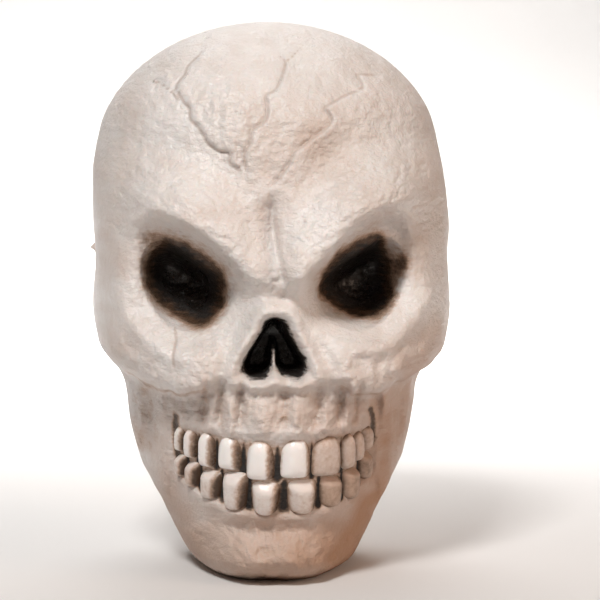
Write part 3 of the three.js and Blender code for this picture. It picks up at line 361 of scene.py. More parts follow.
def chin(x, z):
    """The chin's ball and its two lower corners, the hollow under the lip, the notch and the dimple."""
    ball = CHIN_PROUD * bell((z - 11) / 7.5) * bell(x / 23)
    ball = ball + 0.9 * lumps(x / 6, z / 5, 10) * (1 - ease(16, 26, z))
    corners = CHIN_CORNER * bell((z - 5) / 5) * (bell((x + 19) / 8) + bell((x - 17) / 8))
    lip = LIP_DEPTH * bell((z - 23) / 5.5) * bell(x / 27)
    notch = NOTCH_DEPTH * bell((x + 1) / 7) * bell((z - 1) / 4)
    dimple = DIMPLE_DEPTH * bell((x - DIMPLE_X) / 6.5) * bell((z - DIMPLE_Z) / DIMPLE_TALL)
    return ball + corners - lip - notch - dimple


print("bone on the midline at the nose:", round(float(bone(np.array(0.0), np.array(109.0))), 1), "mm")

# %% [markdown]
# ## Brows and the frown
# Two heavy brows climb from the bridge of the nose to the temples and give the skull its scowl. Each
# is a ridge along a line, steeper below than above, with a shallow valley between it and the
# forehead. A ledge along the brows' foot makes them overhang the eyes. Between them runs a crease,
# with the right-hand brow standing a little prouder than the left.

# %% brows
LEFT_BROW = smooth_line([(3, 125), (-6, 127), (-13, 132), (-21, 140), (-31, 147), (-45, 153), (-58, 155),
                         (-69, 152)])
RIGHT_BROW = smooth_line([(3, 125), (9, 127), (15, 134), (22, 142), (32, 151), (45, 157), (57, 159),
                          (68, 158)])
CREASE = smooth_line([(-3.2, 160), (-1.2, 153), (-0.2, 142), (0.8, 134), (3.4, 122)])
BROW_FOOT = smooth_line([(-62, 151), (-47, 150), (-33, 143), (-21, 134), (-11, 124), (-4.6, 121.6), (2, 121),
                         (6, 121.4), (11, 124.6), (19, 132), (25, 139), (33, 147), (46, 152.5), (63, 154)])
LEFT_PROUD, RIGHT_PROUD = 9.8, 11.2
BROW_FALL = 2.0
VALLEY_DEPTH, VALLEY_AWAY = 4.2, 22.0
LEDGE_PROUD = 2.2
CREASE_WIDE_DEPTH, CREASE_LINE_DEPTH = 2.8, 2.0
CREASE_STEP, CREASE_ROLL = 3.2, 2.2


def frown(x, z):
    """The crease: a wide and a narrow groove, with a step across it that lifts the right-hand brow."""
    away, side, share = line_field(x, z, CREASE)
    groove = CREASE_WIDE_DEPTH * bell(away / 5.5) + CREASE_LINE_DEPTH * bell(away / 1.2)
    groove = groove * ease(0, 0.3, share) * ease(119, 123, z)
    step = CREASE_STEP * side * np.tanh(away / 0.9) * bell(away / 10)
    step = step * ease(0.05, 0.4, share) * ease(119.5, 123.5, z)
    roll = CREASE_ROLL * bell((x - 9) / 6) * bell((z - 131) / 9) * ease(0, 1.5, away) * (side > 0)
    triangle = 0.8 * bell((x + 3.5) / 5) * bell((z - 165) / 5)
    return step + roll - groove - triangle


def brows(x, z):
    """The larger of two ridges with their valleys, plus the frown between them and the ledge below."""
    ridge = np.zeros(np.shape(x))
    for line, upper_side, proud in ((LEFT_BROW, -1, LEFT_PROUD), (RIGHT_BROW, 1, RIGHT_PROUD)):
        away, side, share = line_field(x, z, line)
        above = side == upper_side
        reach = np.where(above, 13.0, 8.0 + 3.0 * ease(0.1, 0.4, share))
        lobe = (proud - BROW_FALL * share) * bell(away / reach)
        valley = VALLEY_DEPTH * bell((away - VALLEY_AWAY) / 9) * above
        valley = valley * ease(0.12, 0.4, share) * ease(3, 20, np.abs(x))
        ridge = np.where(np.abs(lobe - valley) > np.abs(ridge), lobe - valley, ridge)
    ridge = ridge * ease(114, 120.5, z + 0.6 * np.abs(x - 2.5))
    away, side, share = line_field(x, z, BROW_FOOT)
    ledge = LEDGE_PROUD * ease(-1.4, 1.4, side * away) * bell(np.where(side > 0, away, 0) / 8)
    return ridge + frown(x, z) + ledge * between(0.1, 0.9, 0.1, share)


print("brow lines:", len(LEFT_BROW), "and", len(RIGHT_BROW), "points")

# %% [markdown]
# ## Eye sockets
# Each eye lies in a wide egg-shaped bowl under the brow, and in the bowl is the deep hole. The bowl's
# edge is a closed line: along the brow its wall drops steeply, and over the cheekbone it slopes
# gently and ends in a raised rim. The hole leans outwards, and its distance is counted in radii, with
# the brow's edge joined to it by a soft maximum so that its corner stays round.

# %% sockets
LEFT_ORBIT = smooth_line([(-46, 149), (-32, 143), (-23, 136), (-17, 129.5), (-10.5, 122), (-8, 114),
                          (-11, 106), (-18, 99.5), (-27, 96), (-35, 95), (-43, 96.5), (-51, 101),
                          (-57.5, 108.5), (-61, 117.5), (-63, 127), (-62, 138), (-56, 147)], 5, closed=True)
RIGHT_ORBIT = smooth_line([(45, 151.5), (33, 146), (24, 137), (17.5, 129.5), (11, 123), (10, 115),
                           (13, 107.5), (19, 102), (27, 99), (35, 98), (44, 99.5), (51, 104.5),
                           (57, 112), (60, 120.5), (62, 130), (62, 141), (56, 150)], 5, closed=True)
SOCKET_MIDDLES = ((-35.0, 122.6, -1), (34.6, 123.4, 1))
SOCKET_HALF_WIDE, SOCKET_HALF_TALL, SOCKET_POWER = 16.6, 19.6, 2.3
SOCKET_LEAN = math.radians(24)
LID_RUN, LID_FALL = 31, 20
SOCKET_DEPTH = 25.0
BOWL_DEPTH = 9.0
RIM_PROUD = 4.2


def socket_reach(x, z, middle):
    """Distance in socket radii, joined with the brow's edge by a soft maximum."""
    mid_x, mid_z, way = middle
    out, up = (x - mid_x) * way, z - mid_z
    across = np.abs(out * math.cos(SOCKET_LEAN) - up * math.sin(SOCKET_LEAN)) / SOCKET_HALF_WIDE
    along = np.abs(out * math.sin(SOCKET_LEAN) + up * math.cos(SOCKET_LEAN)) / SOCKET_HALF_TALL
    radius = (across ** SOCKET_POWER + along ** SOCKET_POWER) ** (1 / SOCKET_POWER)
    edge = ((up + 3) * LID_RUN - (out + 17.5) * LID_FALL) / math.hypot(LID_RUN, LID_FALL)
    lid = 1 + (edge - 1.5) / 10
    sharp = 6.0
    joined = np.log(np.exp(sharp * np.clip(radius, 0, 3)) + np.exp(sharp * np.clip(lid, -1, 3))) / sharp
    return joined - 0.03


def socket(x, z, middle, orbit):
    """How deep the eye lies: the bowl inside the line, the hole in it, minus the raised rim of bone."""
    within = inside_by(x, z, orbit)
    out = (x - middle[0]) * middle[2]
    under_brow = ease(106, 130, z) * (1 - ease(8, 23, out))
    wall = 14.0 - 6.0 * under_brow
    start = 1.0 + 0.8 * under_brow
    share = np.clip((within + start) / (wall + start), 0, 1)
    bowl = BOWL_DEPTH * (1 + 0.7 * under_brow) * share * share * (3 - 2 * share)
    bowl = bowl * (0.4 + 0.6 * ease(5, 19, np.abs(x)))
    hole = SOCKET_DEPTH * (1 - np.clip(socket_reach(x, z, middle) / 1.04, 0, 1) ** 2.6) ** 1.2
    outer = ease(-18, 6, out)
    rim = RIM_PROUD * bell((within + 3.0) / 4.0) * (1 - ease(112, 128, z)) * (0.35 + 0.65 * outer)
    return bowl + hole - rim


print("sockets:", SOCKET_DEPTH + BOWL_DEPTH, "mm deep")

# %% [markdown]
# ## Nose
# The nose is a pear-shaped hole with a thin upright wall in it, under the short ridge of the nasal
# bones, and its edge is a raised, rounded rim. The pear is given by how wide it is at each height,
# and the distance in from its outline drives the rim outside and the drop inside.

# %% nose
NOSE_LEVELS = np.array((81.5, 85.5, 89.5, 97.5, 103.4))
NOSE_HALVES = np.array((12.4, 13.6, 12.9, 8.9, 5.2))
NOSE_DEPTH = 22.0
NOSE_RIDGE, NOSE_RIM = 4.0, 5.6
SEPTUM_X = -0.6


def nose_inside(x, z):
    """Distance in from the pear's outline: a soft least of the ways to its side, round top and floor."""
    middle = SEPTUM_X + 0.3 * ease(95, 105, z)
    half = through(NOSE_LEVELS, NOSE_HALVES, np.clip(z, NOSE_LEVELS[0], NOSE_LEVELS[-1]))
    away = np.abs(x - middle)
    floor = 84.2 + 2.6 * bell((x - SEPTUM_X) / 3.2) + 1.8 * ease(9, 13, away)
    side = half - np.hypot(away, np.maximum(z - NOSE_LEVELS[-1], 0))
    ways = np.clip(np.stack([side, z - floor]), -20, 20)
    return -np.log(np.exp(-ways / 0.9).sum(0)) * 0.9


def septum(x, z):
    """The upright wall: a bell across that widens downwards and ends in a point."""
    return bell((x - SEPTUM_X) / (0.7 + 0.1 * np.maximum(98 - z, 0))) * (1 - ease(95, 100, z))


def nose(x, z):
    """The nasal bones' ridge and the rim, minus the hole, which the septum keeps up."""
    within = nose_inside(x, z)
    ridge = NOSE_RIDGE * bell((x + 0.2) / 6.4) * bell((z - 109) / 4.6)
    rim = NOSE_RIM * bell((within + 3.3) / 3.5) * (within < 3) * ease(77, 82, z)
    return ridge + rim - NOSE_DEPTH * ease(-0.4, 3.6, within) * (1 - 0.8 * septum(x, z))


print("nose:", NOSE_LEVELS[-1] + NOSE_HALVES[-1] - NOSE_LEVELS[0], "mm tall")

# %% [markdown]
# ## The mouth's recess
# The teeth stand in a shallow band that is set back from the gums. Above it, the roots of the upper
# teeth swell the bone in upright ridges, and below it each lower tooth has a small ledge of gum. The
# teeth were measured on the photograph: left edge, right edge, gum and biting edge.

# %% mouth
UPPER_TEETH = ((-39.0, -35.4, 63.9, 52.0), (-35.2, -30.6, 63.6, 50.0), (-29.8, -23.6, 62.9, 47.2),
               (-22.7, -13.6, 62.0, 47.2), (-11.9, -0.7, 60.8, 43.6), (1.8, 14.0, 61.6, 44.2),
               (14.6, 26.6, 61.8, 44.2), (26.9, 31.4, 61.9, 45.8), (31.2, 35.2, 62.2, 48.2),
               (35.2, 40.0, 63.4, 52.4))
LOWER_TEETH = ((-38.6, -35.0, 41.5, 51.0), (-34.8, -29.8, 37.8, 48.8), (-29.3, -21.3, 34.0, 46.4),
               (-21.0, -11.1, 30.4, 46.6), (-9.7, 1.9, 29.0, 43.0), (4.7, 16.8, 29.2, 43.6),
               (17.8, 27.0, 30.6, 44.2), (27.3, 34.6, 32.4, 46.4), (34.9, 40.0, 39.4, 51.8))
ROOT_GROOVES = ((-28.0, 1.6), (-21.5, 1.5), (-13.8, 1.7), (3.6, 2.8), (16.8, 2.6), (26.0, 2.2), (33.0, 1.6))
ROOT_LEAN = 0.06
MOUTH_RECESS = 2.4
ROOT_PROUD, ROOT_GROOVE_DEPTH, GUM_LEDGE = 3.2, 3.4, 1.9


def root_groove(x, z, middle, wide):
    """1 along an upright groove between two roots, which leans outwards a little as it rises."""
    return bell((x - middle - ROOT_LEAN * (z - 74)) / wide)


def mouth_band(x, z):
    """1 inside the band between the gum lines, easing to 0 over its edges and at the mouth's corners."""
    side = np.abs(x - 0.6)
    top = 61.6 + 2.0 * ease(10, 30, side)
    low = 29.4 + 13.0 * (side / 40) ** 2.2
    return ease(low - 2.5, low + 2.5, z) * (1 - ease(top - 6, top + 1.5, z)) * (1 - ease(38.5, 42.5, side))


def mouth(x, z):
    """Minus the recess, plus a ridge over every upper root and a ledge under every lower tooth."""
    shape = -MOUTH_RECESS * mouth_band(x, z)
    root_rise = ease(58, 64, z) * (1 - ease(68, 82, z))
    for left, right, _, _ in UPPER_TEETH:
        wide = 0.36 * (right - left) + 0.5
        shape = shape + ROOT_PROUD * bell((x - (left + right) / 2) / wide) * root_rise
    for middle, wide in ROOT_GROOVES:
        shape = shape - ROOT_GROOVE_DEPTH * root_groove(x, z, middle, wide) * between(68, 80, 5, z)
    for left, right, gum, _ in LOWER_TEETH:
        wide = 0.42 * (right - left) + 0.5
        shape = shape + GUM_LEDGE * bell((x - (left + right) / 2) / wide) * bell((z - gum + 1.8) / 2.6)
    knobs = between(61, 76, 4, z) * (1 - ease(26, 38, np.abs(x)))
    return shape + knobs * (0.9 * lumps(x / 2.6, z / 2.4, 35) + 0.5 * lumps(x / 1.4, z / 1.4, 36))


print("teeth:", len(UPPER_TEETH), "upper and", len(LOWER_TEETH), "lower")

# %% [markdown]
# ## Cracks, wrinkles and lumps
# The moulding copies old bone: three cracks branch over the forehead, a short one runs down the left
# cheek, and the whole skin is lumpy. Cracks are lines again, each a narrow groove with one lip raised.
# The lumps are noise at several sizes. Creases are the lines where noise crosses zero; they make the
# skin leathery, and along the brows they are stretched, where the wrinkles follow the scowl.

# %% cracks and skin
CRACKS = [smooth_line(points, 4) for points in (
    [(-27, 224), (-28.5, 219), (-29, 214.5), (-34.5, 209), (-35.5, 205.5), (-39, 201), (-38.5, 198),
     (-36, 193.5), (-34, 191), (-33.5, 186.5), (-30, 183), (-27, 177.5), (-22.5, 174), (-18.5, 173),
     (-18, 169), (-15.5, 167), (-12, 165.5)],
    [(-49, 202.5), (-45.5, 202), (-41.5, 198.5), (-38, 194.5)],
    [(1.5, 214), (5, 210.5), (3.5, 205), (0.5, 198.5), (-3.5, 196), (-3, 191.5), (-4, 186), (-9.5, 182),
     (-10, 177.5), (-12.5, 173), (-12, 167.5), (-12, 165.5)],
    [(5, 210.5), (8, 212.5), (11, 216), (15, 220), (17, 224)],
    [(48, 208), (44.5, 206.5), (39.5, 205.5), (34.5, 205.5), (36.5, 200), (30, 197), (23.5, 193.5),
     (20, 191), (22.5, 187), (21, 184), (16.5, 180.5), (12, 177), (7.5, 174), (6, 170.5), (3.5, 166.5),
     (0.5, 162.5), (-2.5, 159.5)])]
CHEEK_CRACK = smooth_line([(-40, 104), (-39.4, 98.5), (-40.6, 93.5), (-40.2, 88)], 4)
CRACK_DEPTH, CRACK_LIP = 1.6, 0.8
CHEEK_CRACK_DEPTH, CHEEK_CRACK_LIP = 0.7, 0.25
CRACK_WIDE = 0.8
FAR_AWAY = 9.0
BROW_TILT = math.radians(28)


def cracks(x, z):
    """Depth of the cracks, and the distance to the nearest one."""
    shape = np.zeros(np.shape(x))
    nearest = np.full(np.shape(x), FAR_AWAY)
    kinds = [(line, CRACK_DEPTH, CRACK_LIP) for line in CRACKS]
    for line, depth, lip in kinds + [(CHEEK_CRACK, CHEEK_CRACK_DEPTH, CHEEK_CRACK_LIP)]:
        away, side, share = line_field(x, z, line)
        fade = ease(0, 0.06, share) * (1 - ease(0.96, 1.0, share)) * (1 - 0.7 * ease(206, 220, z))
        raised = lip * side * np.tanh(away / CRACK_WIDE) * bell(away / 5.5)
        groove = depth * bell(away / CRACK_WIDE) - raised
        shape = np.where(np.abs(groove * fade) > np.abs(shape), groove * fade, shape)
        nearest = np.minimum(nearest, away / np.maximum(fade, 0.2))
    return shape, nearest


def creases(u, v, seed):
    """Thin grooves: 1 along the lines where smooth noise crosses zero, falling off steeply beside them."""
    wander = lumps(u, v, seed) + 0.5 * lumps(2.1 * u, 2.1 * v, seed + 1)
    return np.clip(1 - np.abs(wander) * 1.6, 0, 1) ** 2


def plates(x, z):
    """Broad swells of the forehead, between the left cracks and on the right, less a dip by each temple."""
    left = 2.8 * bell((x + 17) / 12) * bell((z - 194) / 17)
    right = 1.2 * bell((x - 30) / 16) * bell((z - 184) / 13)
    temple = 1.4 * bell((np.abs(x) - 58) / 10) * bell((z - 165) / 14)
    return left + right - temple


def skin(x, z):
    """Lumps of about 12, 5 and 2 mm, with leathery creases; calmer by the teeth and the nose."""
    side = np.abs(x)
    along = side * math.cos(BROW_TILT) + z * math.sin(BROW_TILT)
    across = z * math.cos(BROW_TILT) - side * math.sin(BROW_TILT)
    broad = 0.8 * lumps(x / 12, z / 11, 11) + 0.26 * lumps(x / 5.4, z / 5.2, 12)
    folds = 0.7 * creases(along / 9, across / 3.4, 13) + 0.4 * creases(along / 5, across / 2.2, 17)
    leather = 0.6 * creases(x / 4.6, z / 3.8, 21) + 0.36 * creases(x / 2.6, z / 2.4, 24)
    pits = 0.42 * lumps(x / 2.4, z / 2.2, 15) + 0.24 * lumps(x / 1.5, z / 1.5, 16)
    scowl = bell((across - 112) / 24) * ease(118, 136, z)
    plate = bell((x + 22) / 18) * bell((z - 196) / 18)
    calm = 1 - 0.7 * between(26, 64, 5, z) * (1 - ease(36, 44, side)) + 0.5 * (1 - ease(14, 26, z))
    calm = calm * (1 - 0.75 * bell(x / 15) * bell((z - 102) / 15))
    patch = 0.55 + 0.45 * lumps(x / 17, z / 17, 27)
    shape = broad + plates(x, z) - folds * (0.25 + 0.75 * scowl) - leather * patch * (1 - 0.6 * scowl)
    jaw = (0.8 * lumps(x / 4.5, z / 4, 18) + 0.5 * lumps(x / 2.4, z / 2.2, 19)) * (1 - ease(20, 30, z))
    return (shape + pits * (0.6 + 0.8 * plate)) * calm + jaw


print("cracks on the forehead:", len(CRACKS), "and one on the cheek")

# %% [markdown]
# ## The face half
# All forms come together here. They fade out where the bone turns into the parting plane, so the rim
# stays clean. Rows crowd where the detail is, at the mouth and eyes, and turn over the crown, where
# the outline closes in one point.

# %% face surface
FORM_FADE = 16.0
CROWN_ROWS = 34
FACE_COLUMNS = 300
FACE_CROWDING = 0.78


def moulded(x, z):
    """Bone plus every form except the skin's lumps, each faded towards the parting plane."""
    base = bone(x, z)
    forms = brows(x, z) + nose(x, z) + cheeks(x, z) + sides(x, z) + chin(x, z) + mouth(x, z)
    for middle, orbit in zip(SOCKET_MIDDLES, (LEFT_ORBIT, RIGHT_ORBIT)):
        forms = forms - socket(x, z, middle, orbit)
    return base, np.maximum(base + ease(0, FORM_FADE, base) * forms, 0)


def rows_over(bend, spans):
    """Heights that run through each span in even steps, then turn over the crown by a sine."""
    even = np.concatenate([np.linspace(low, high, count, endpoint=False) for low, high, count in spans])
    crown = bend + (HEIGHT - bend) * np.sin(np.linspace(0, np.pi / 2, CROWN_ROWS))
    return np.concatenate([even, crown])


BEND = SECTIONS[-1, LEVEL] * HEIGHT
face_rows = rows_over(BEND, ((0, 26, 30), (26, 70, 76), (70, 150, 112), (150, BEND, 68)))
face_z = np.repeat(face_rows[:, None], FACE_COLUMNS, axis=1)
face_x = packed(FACE_COLUMNS, FACE_CROWDING)[None, :] * half_width(face_rows)[:, None]
face_base, face_form = moulded(face_x, face_z)
crack_depth, crack_away = cracks(face_x, face_z)
face_fade = ease(0, FORM_FADE, face_base)
face_depth = np.maximum(face_form + face_fade * (skin(face_x, face_z) - crack_depth), 0)
face_depth[:, [0, -1]] = 0
face_depth[-1] = 0
print("face grid:", face_x.shape, "deepest", round(float(face_depth.max()), 1), "mm")

# %% [markdown]
# ## Where the black paint went
# The sockets, the nose and the gaps between the teeth were painted black by hand after moulding, with
# a brush that left scratchy edges and a brown haze. The paint is a field on the face's points: how
# many millimetres inside the paint's edge each point lies. The finish turns it into colour, and noise
# there frays the edge. A second field holds the brown haze round the paint and at the mouth's corners,
# with painted shade in it too: under the brows and the cheekbones, round the teeth, between the roots,
# in the crease and in the dimple. A third holds painted shade in tan that darkens the jaw, most of all
# on the right, the outline and the brows' undersides; it fades back towards the seam.

# %% paint fields
LEFT_PAINT = smooth_line([(-41, 139), (-45, 138), (-51, 131.5), (-52, 123.5), (-51.5, 118), (-47.5, 112),
                          (-39, 106.5), (-31.5, 103.5), (-26, 104), (-20, 111), (-19, 116.5), (-20, 125),
                          (-22, 128), (-27.5, 132.5), (-33.5, 137)], 4, closed=True)
RIGHT_PAINT = smooth_line([(42, 141), (35, 139.5), (30, 136.5), (24.5, 133.5), (22, 130.5), (18.5, 125.5),
                           (17.5, 119), (18.5, 115.5), (23, 112), (29, 108.5), (36.5, 106.5), (43, 107),
                           (47.5, 111), (49.5, 115.5), (50, 122), (49.5, 128), (47.5, 134), (45, 139)],
                          4, closed=True)
MOUTH_CORNERS = [smooth_line(points) for points in (
    [(-40.5, 70), (-39.6, 65), (-39.4, 57), (-38.6, 49), (-36, 41)],
    [(38.5, 72), (40.4, 65), (40.8, 58), (41, 49)])]
INK_LOW, INK_HIGH = -9.0, 5.0


def beyond_teeth(x, z):
    """Distance to the nearest tooth's rounded outline, negative on the tooth."""
    nearest = np.full(np.shape(x), 20.0)
    for left, right, gum, bite in UPPER_TEETH + LOWER_TEETH:
        half_x, half_z = (right - left) / 2, abs(gum - bite) / 2
        soft = min(2.6, half_x * 0.8)
        out_x = np.abs(x - (left + right) / 2) - half_x + soft
        out_z = np.abs(z - (gum + bite) / 2) - half_z + soft
        corner = np.hypot(np.maximum(out_x, 0), np.maximum(out_z, 0))
        nearest = np.minimum(nearest, corner + np.minimum(np.maximum(out_x, out_z), 0) - soft)
    return nearest


def tooth_gaps(x, z, teeth):
    """1 on the line between two teeth: a bell across, fading towards the gum, black to a point below."""
    dark = np.zeros(np.shape(x))
    for (_, left, gum_a, bite_a), (right, _, gum_b, bite_b) in zip(teeth[:-1], teeth[1:]):
        gum, bite = (gum_a + gum_b) / 2, (bite_a + bite_b) / 2
        upper = gum > bite
        share = (z - bite) / (gum - bite)
        spread = max((right - left) / 2, 0.35) + 0.8
        taper = np.clip(1.12 - share, 0.12, 1) if upper else np.clip(0.6 + 0.5 * share, 0.5, 1.1)
        end = ease(0.5, 1.05, share) if upper else ease(0.8, 1.04, share)
        fade = ease(-0.12, 0.05, share) * (1 - end)
        dark = np.maximum(dark, fade * bell((x - (left + right) / 2) / (spread * taper)))
    return dark


def mouth_corners(x, z):
    """A ragged brown brush mark up each end of the mouth."""
    mark = np.zeros(np.shape(x))
    for line in MOUTH_CORNERS:
        away, _, share = line_field(x, z, line)
        ragged = 0.6 * lumps(x / 1.8, z / 3.5, 33)
        fade = ease(0, 0.12, share) * (1 - ease(0.55, 1.0, share))
        mark = np.maximum(mark, bell((away + ragged) / 1.4) * fade)
    return mark


def in_orbits(x, z):
    """Distance inside the nearer eye's bowl, negative outside both."""
    return np.maximum(inside_by(x, z, LEFT_ORBIT), inside_by(x, z, RIGHT_ORBIT))


def face_paint(x, z):
    """Ink: the deepest of the sockets', nose's and mouth's paint. Haze: soft bells just outside it, with
    painted shade in hollows and under ledges.
    """
    side = np.abs(x)
    eyes = np.maximum(inside_by(x, z, LEFT_PAINT), inside_by(x, z, RIGHT_PAINT))
    eyes = eyes + 0.6 * lumps(x / 4, z / 4, 34)
    blotch = 3.0 * bell((x - 52.5) / 2.2) * bell((z - 129) / 4.5)
    blotch = blotch + 2.2 * bell((x + 48) / 5) * bell((z - 139) / 3)
    within = nose_inside(x, z)
    hole = np.minimum(2.4 * within, 5) - 6.0 * septum(x, z)
    dark = np.maximum(tooth_gaps(x, z, UPPER_TEETH), tooth_gaps(x, z, LOWER_TEETH))
    gaps = 8.0 * dark - 5.0 - 4 * (1 - ease(0, 0.2, dark))
    ink = np.clip(np.maximum(np.maximum(eyes - 2.8 + blotch, hole), gaps), INK_LOW, INK_HIGH)
    bowl = in_orbits(x, z)
    inner = np.minimum(eyes - 2.5, 0)
    fringe = 0.76 * bell(inner / 2.4) + 0.22 * bell(inner / 5) + 0.2 * blotch
    fringe = fringe * ease(-2.0, 2.5, bowl)
    # painted shade on the socket bowl's ceiling, under the brow
    ceiling = 0.1 * ease(-2.5, 3, bowl) * ease(114, 128, z)
    # painted shadow along the cheekbone's lower edge
    cheek_shadow = 0.4 * bell((above_cheek_edge(x, z) + 1.4) / 1.3)
    cheek_shadow = cheek_shadow * ease(24, 36, side) * (1 - ease(58, 66, side))
    nostril = 0.2 * bell(np.minimum(within - 0.5, 0) / 0.8)
    # part airbrush and part painted shade: a dark line round each tooth and a light tone over the mouth's
    # recess
    gum_line = 0.3 * bell(np.maximum(beyond_teeth(x, z), 0) / 0.9) + 0.14
    gum = gum_line * mouth_band(x, z) + 0.85 * ease(0.03, 0.8, dark)
    # painted shade in the chin's dimple
    dimple = 0.34 * bell((x - DIMPLE_X) / 6) * bell((z - DIMPLE_Z) / DIMPLE_TALL)
    # painted shade along the brows' crease
    crease = 0.07 * bell(line_field(x, z, CREASE)[0] / 2)
    speckle = np.clip(0.3 + lumps(x / 2.5, z / 5, 21), 0, 1)
    jaw = 0.5 * bell((x + 54) / 8) * bell((z - 60) / 19) * speckle
    # painted shade in the grooves between the roots
    roots = np.zeros(np.shape(x))
    for middle, wide in ROOT_GROOVES:
        roots = roots + 0.2 * root_groove(x, z, middle, wide) * between(66, 80, 4, z)
    marks = cheek_shadow + mouth_corners(x, z)
    return ink, np.clip(fringe + ceiling + nostril + gum + dimple + crease + jaw + roots + marks, 0, 1)


SEAM_SHADE = 0.35


def tan_and_shade(x, z, depth):
    """Painted shade in tan: darker towards the jaw, the right and the outline, less back towards the seam;
    random patches of tone on top.
    """
    near = outline_share(np.abs(x), z)
    # the painted shade on the right and at the outline keeps only part of its strength where the face is
    # shallow, by the seam
    front = SEAM_SHADE + (1 - SEAM_SHADE) * ease(4, 60, depth)
    # painted shade: darker towards the bottom, most of all at the chin and on its right
    chin_shade = 0.58 * (1 - ease(8, 46, z)) * (0.62 + 0.38 * ease(-30, 20, x))
    low = 0.25 * (1 - ease(30, 120, z)) + chin_shade
    # painted shade towards the outline, stronger low down
    edge = (0.18 + 0.16 * (1 - ease(60, 130, z))) * ease(0.6, 1.0, near) * (1 - ease(190, 228, z))
    # painted shade on the right-hand side below the temples, away from the key lamp
    right = (0.42 * ease(6, 48, x) + 0.2 * ease(36, 48, x)) * (1 - ease(50, 112, z))
    right = right + 0.06 * ease(-20, 60, x) * (1 - ease(150, 200, z))
    # painted shade in patches: right of the forehead's middle, on the left brow's front and above the mouth
    middle = 0.3 * bell((x - 8) / 28) * bell((z - 178) / 22)
    middle = middle + 0.22 * bell((x + 30) / 14) * bell((z - 149) / 8)
    middle = middle + 0.16 * bell(x / 30) * bell((z - 72) / 10)
    # random patches of darker and lighter tone
    patches = 0.12 * lumps(x / 14, z / 14, 61) + 0.08 * lumps(x / 5, z / 5, 62)
    return np.clip(low * (0.6 + 0.4 * front) + (edge + right) * front + middle + patches, 0, 1)


def under_brows(x, z):
    """1 on the brows' undersides, which no light from above reaches."""
    saddle = bell((x - 1) / 12) * bell((z - 117.5) / 3.5)
    return np.maximum(ease(-2.5, 3, in_orbits(x, z)) * ease(116, 130, z), saddle)


face_ink, face_haze_and_shade = face_paint(face_x, face_z)
# the brows' undersides get extra painted shade
face_tan_and_shade = np.clip(tan_and_shade(face_x, face_z, face_depth) + 0.12 * under_brows(face_x, face_z), 0, 1)
print("painted share of the face:", round(float((face_ink > 0).mean()), 3))

# %% face piece
face_sheet = np.stack([fuller(face_x, face_z), FACE_PLANE - face_depth, face_z], -1)
face_fields = {"ink": face_ink, "haze_and_shade": face_haze_and_shade, "crack": crack_away, "tooth": np.zeros_like(face_ink),
               "tan_and_shade": face_tan_and_shade}
face_piece = closed_sheet("skull_face", face_sheet, pole=True, fields=face_fields)
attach(face_piece, "skull")
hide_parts("face_shell")

# %% [markdown]
# ## Teeth
# On the real skull the teeth are part of the face's moulding. Here each is a small closed sheet of its
# own, because its rounded edges need finer points than the face has. A tooth is a pillow over a
# rectangle: narrower and arched at the gum, soft at its corners, and set on the recess, square to it.

# %% tooth shape
TOOTH_PROUD = 3.4
TOOTH_ROOT = 2.5
TOOTH_SPREAD = 0.3
TOOTH_COLUMNS, TOOTH_ROWS, TOOTH_CROWDING = 34, 38, 0.9
PROBE_X, PROBE_Z = 0.3, 3.0


def tooth_sheet(left, right, gum, bite, seed):
    """A pillow: depth is the product of two flat-topped humps, placed along the recess's own slopes."""
    a = packed(TOOTH_COLUMNS, TOOTH_CROWDING)[None, :]
    b = (packed(TOOTH_ROWS, TOOTH_CROWDING)[:, None] + 1) / 2
    a, b = np.broadcast_arrays(a, b)
    up = 1 if gum > bite else -1
    middle = np.array(((left + right) / 2, (gum + bite) / 2))
    around_x = middle[0] + PROBE_X * np.array((-1, 1, 0, 0, 0))
    around_z = middle[1] + PROBE_Z * np.array((0, 0, -1, 1, 0))
    depth = moulded(around_x, around_z)[1]
    tilt_x, tilt_z = (depth[1] - depth[0]) / (2 * PROBE_X), (depth[3] - depth[2]) / (2 * PROBE_Z)
    along = np.array((1, -tilt_x, 0)) / math.hypot(1, tilt_x)
    upward = np.array((0, -tilt_z, 1)) / math.hypot(1, tilt_z)
    outward = np.cross(along, upward)
    wide = (right - left + TOOTH_SPREAD) * math.hypot(1, tilt_x)
    tall = abs(gum - bite) * math.hypot(1, tilt_z)
    arch = (0.24 if up > 0 else 0.12) * np.abs(a) ** 2.3
    corner = 0.06 * np.abs(a) ** 4
    rise = (corner + b * (1 - arch - corner) - 0.5) * tall * up
    narrow = 1 - (0.12 if up > 0 else 0.16) * b ** 2 + 0.03 * np.sin(np.pi * b)
    hump = (1 - np.abs(a) ** 2.8) ** 0.6 * (1 - np.abs(2 * b - 1) ** 6) ** 0.5
    bevel = 1.5 * (1 - ease(0.04, 0.26, b)) if up < 0 else 0.9 * ease(0.7, 1.0, b)
    swell = 0.5 * (1 - a * a) * np.sin(np.pi * b) + 0.2 * lumps(a * 1.5 + seed, b * 2.5, 31) - bevel
    out = -TOOTH_ROOT + (TOOTH_ROOT + TOOTH_PROUD) * hump + swell * hump
    centre = np.array((middle[0], FACE_PLANE - depth[4], middle[1]))
    place = centre + (a * narrow * wide / 2)[..., None] * along + rise[..., None] * upward
    return place + out[..., None] * outward, a, b, up


def tooth_shade_and_haze(a, b, up, shade):
    """Painted shade on the right-hand side, away from the light, over the lower teeth and round the gum's
    arch; a thin haze on the left.
    """
    # painted shade on the right-hand side, away from the light
    right = ease(0.2, 0.92, a) ** 1.2 * ((0.95 - 0.3 * b) if up > 0 else (0.7 + 0.3 * b))
    left = 0.5 * ease(0.78, 1.0, -a) * ((1 - 0.4 * b) if up > 0 else 1.0)
    # painted shadow round the gum's arch
    gum = ease(0.84, 1.0, b) * (0.55 if up > 0 else 0.3)
    # painted shade over the lower teeth's bodies
    body = 0.0 if up > 0 else 0.16 * ease(0.12, 0.4, b)
    return np.clip(np.maximum(np.maximum(right, left), gum) + body + shade, 0, 1)


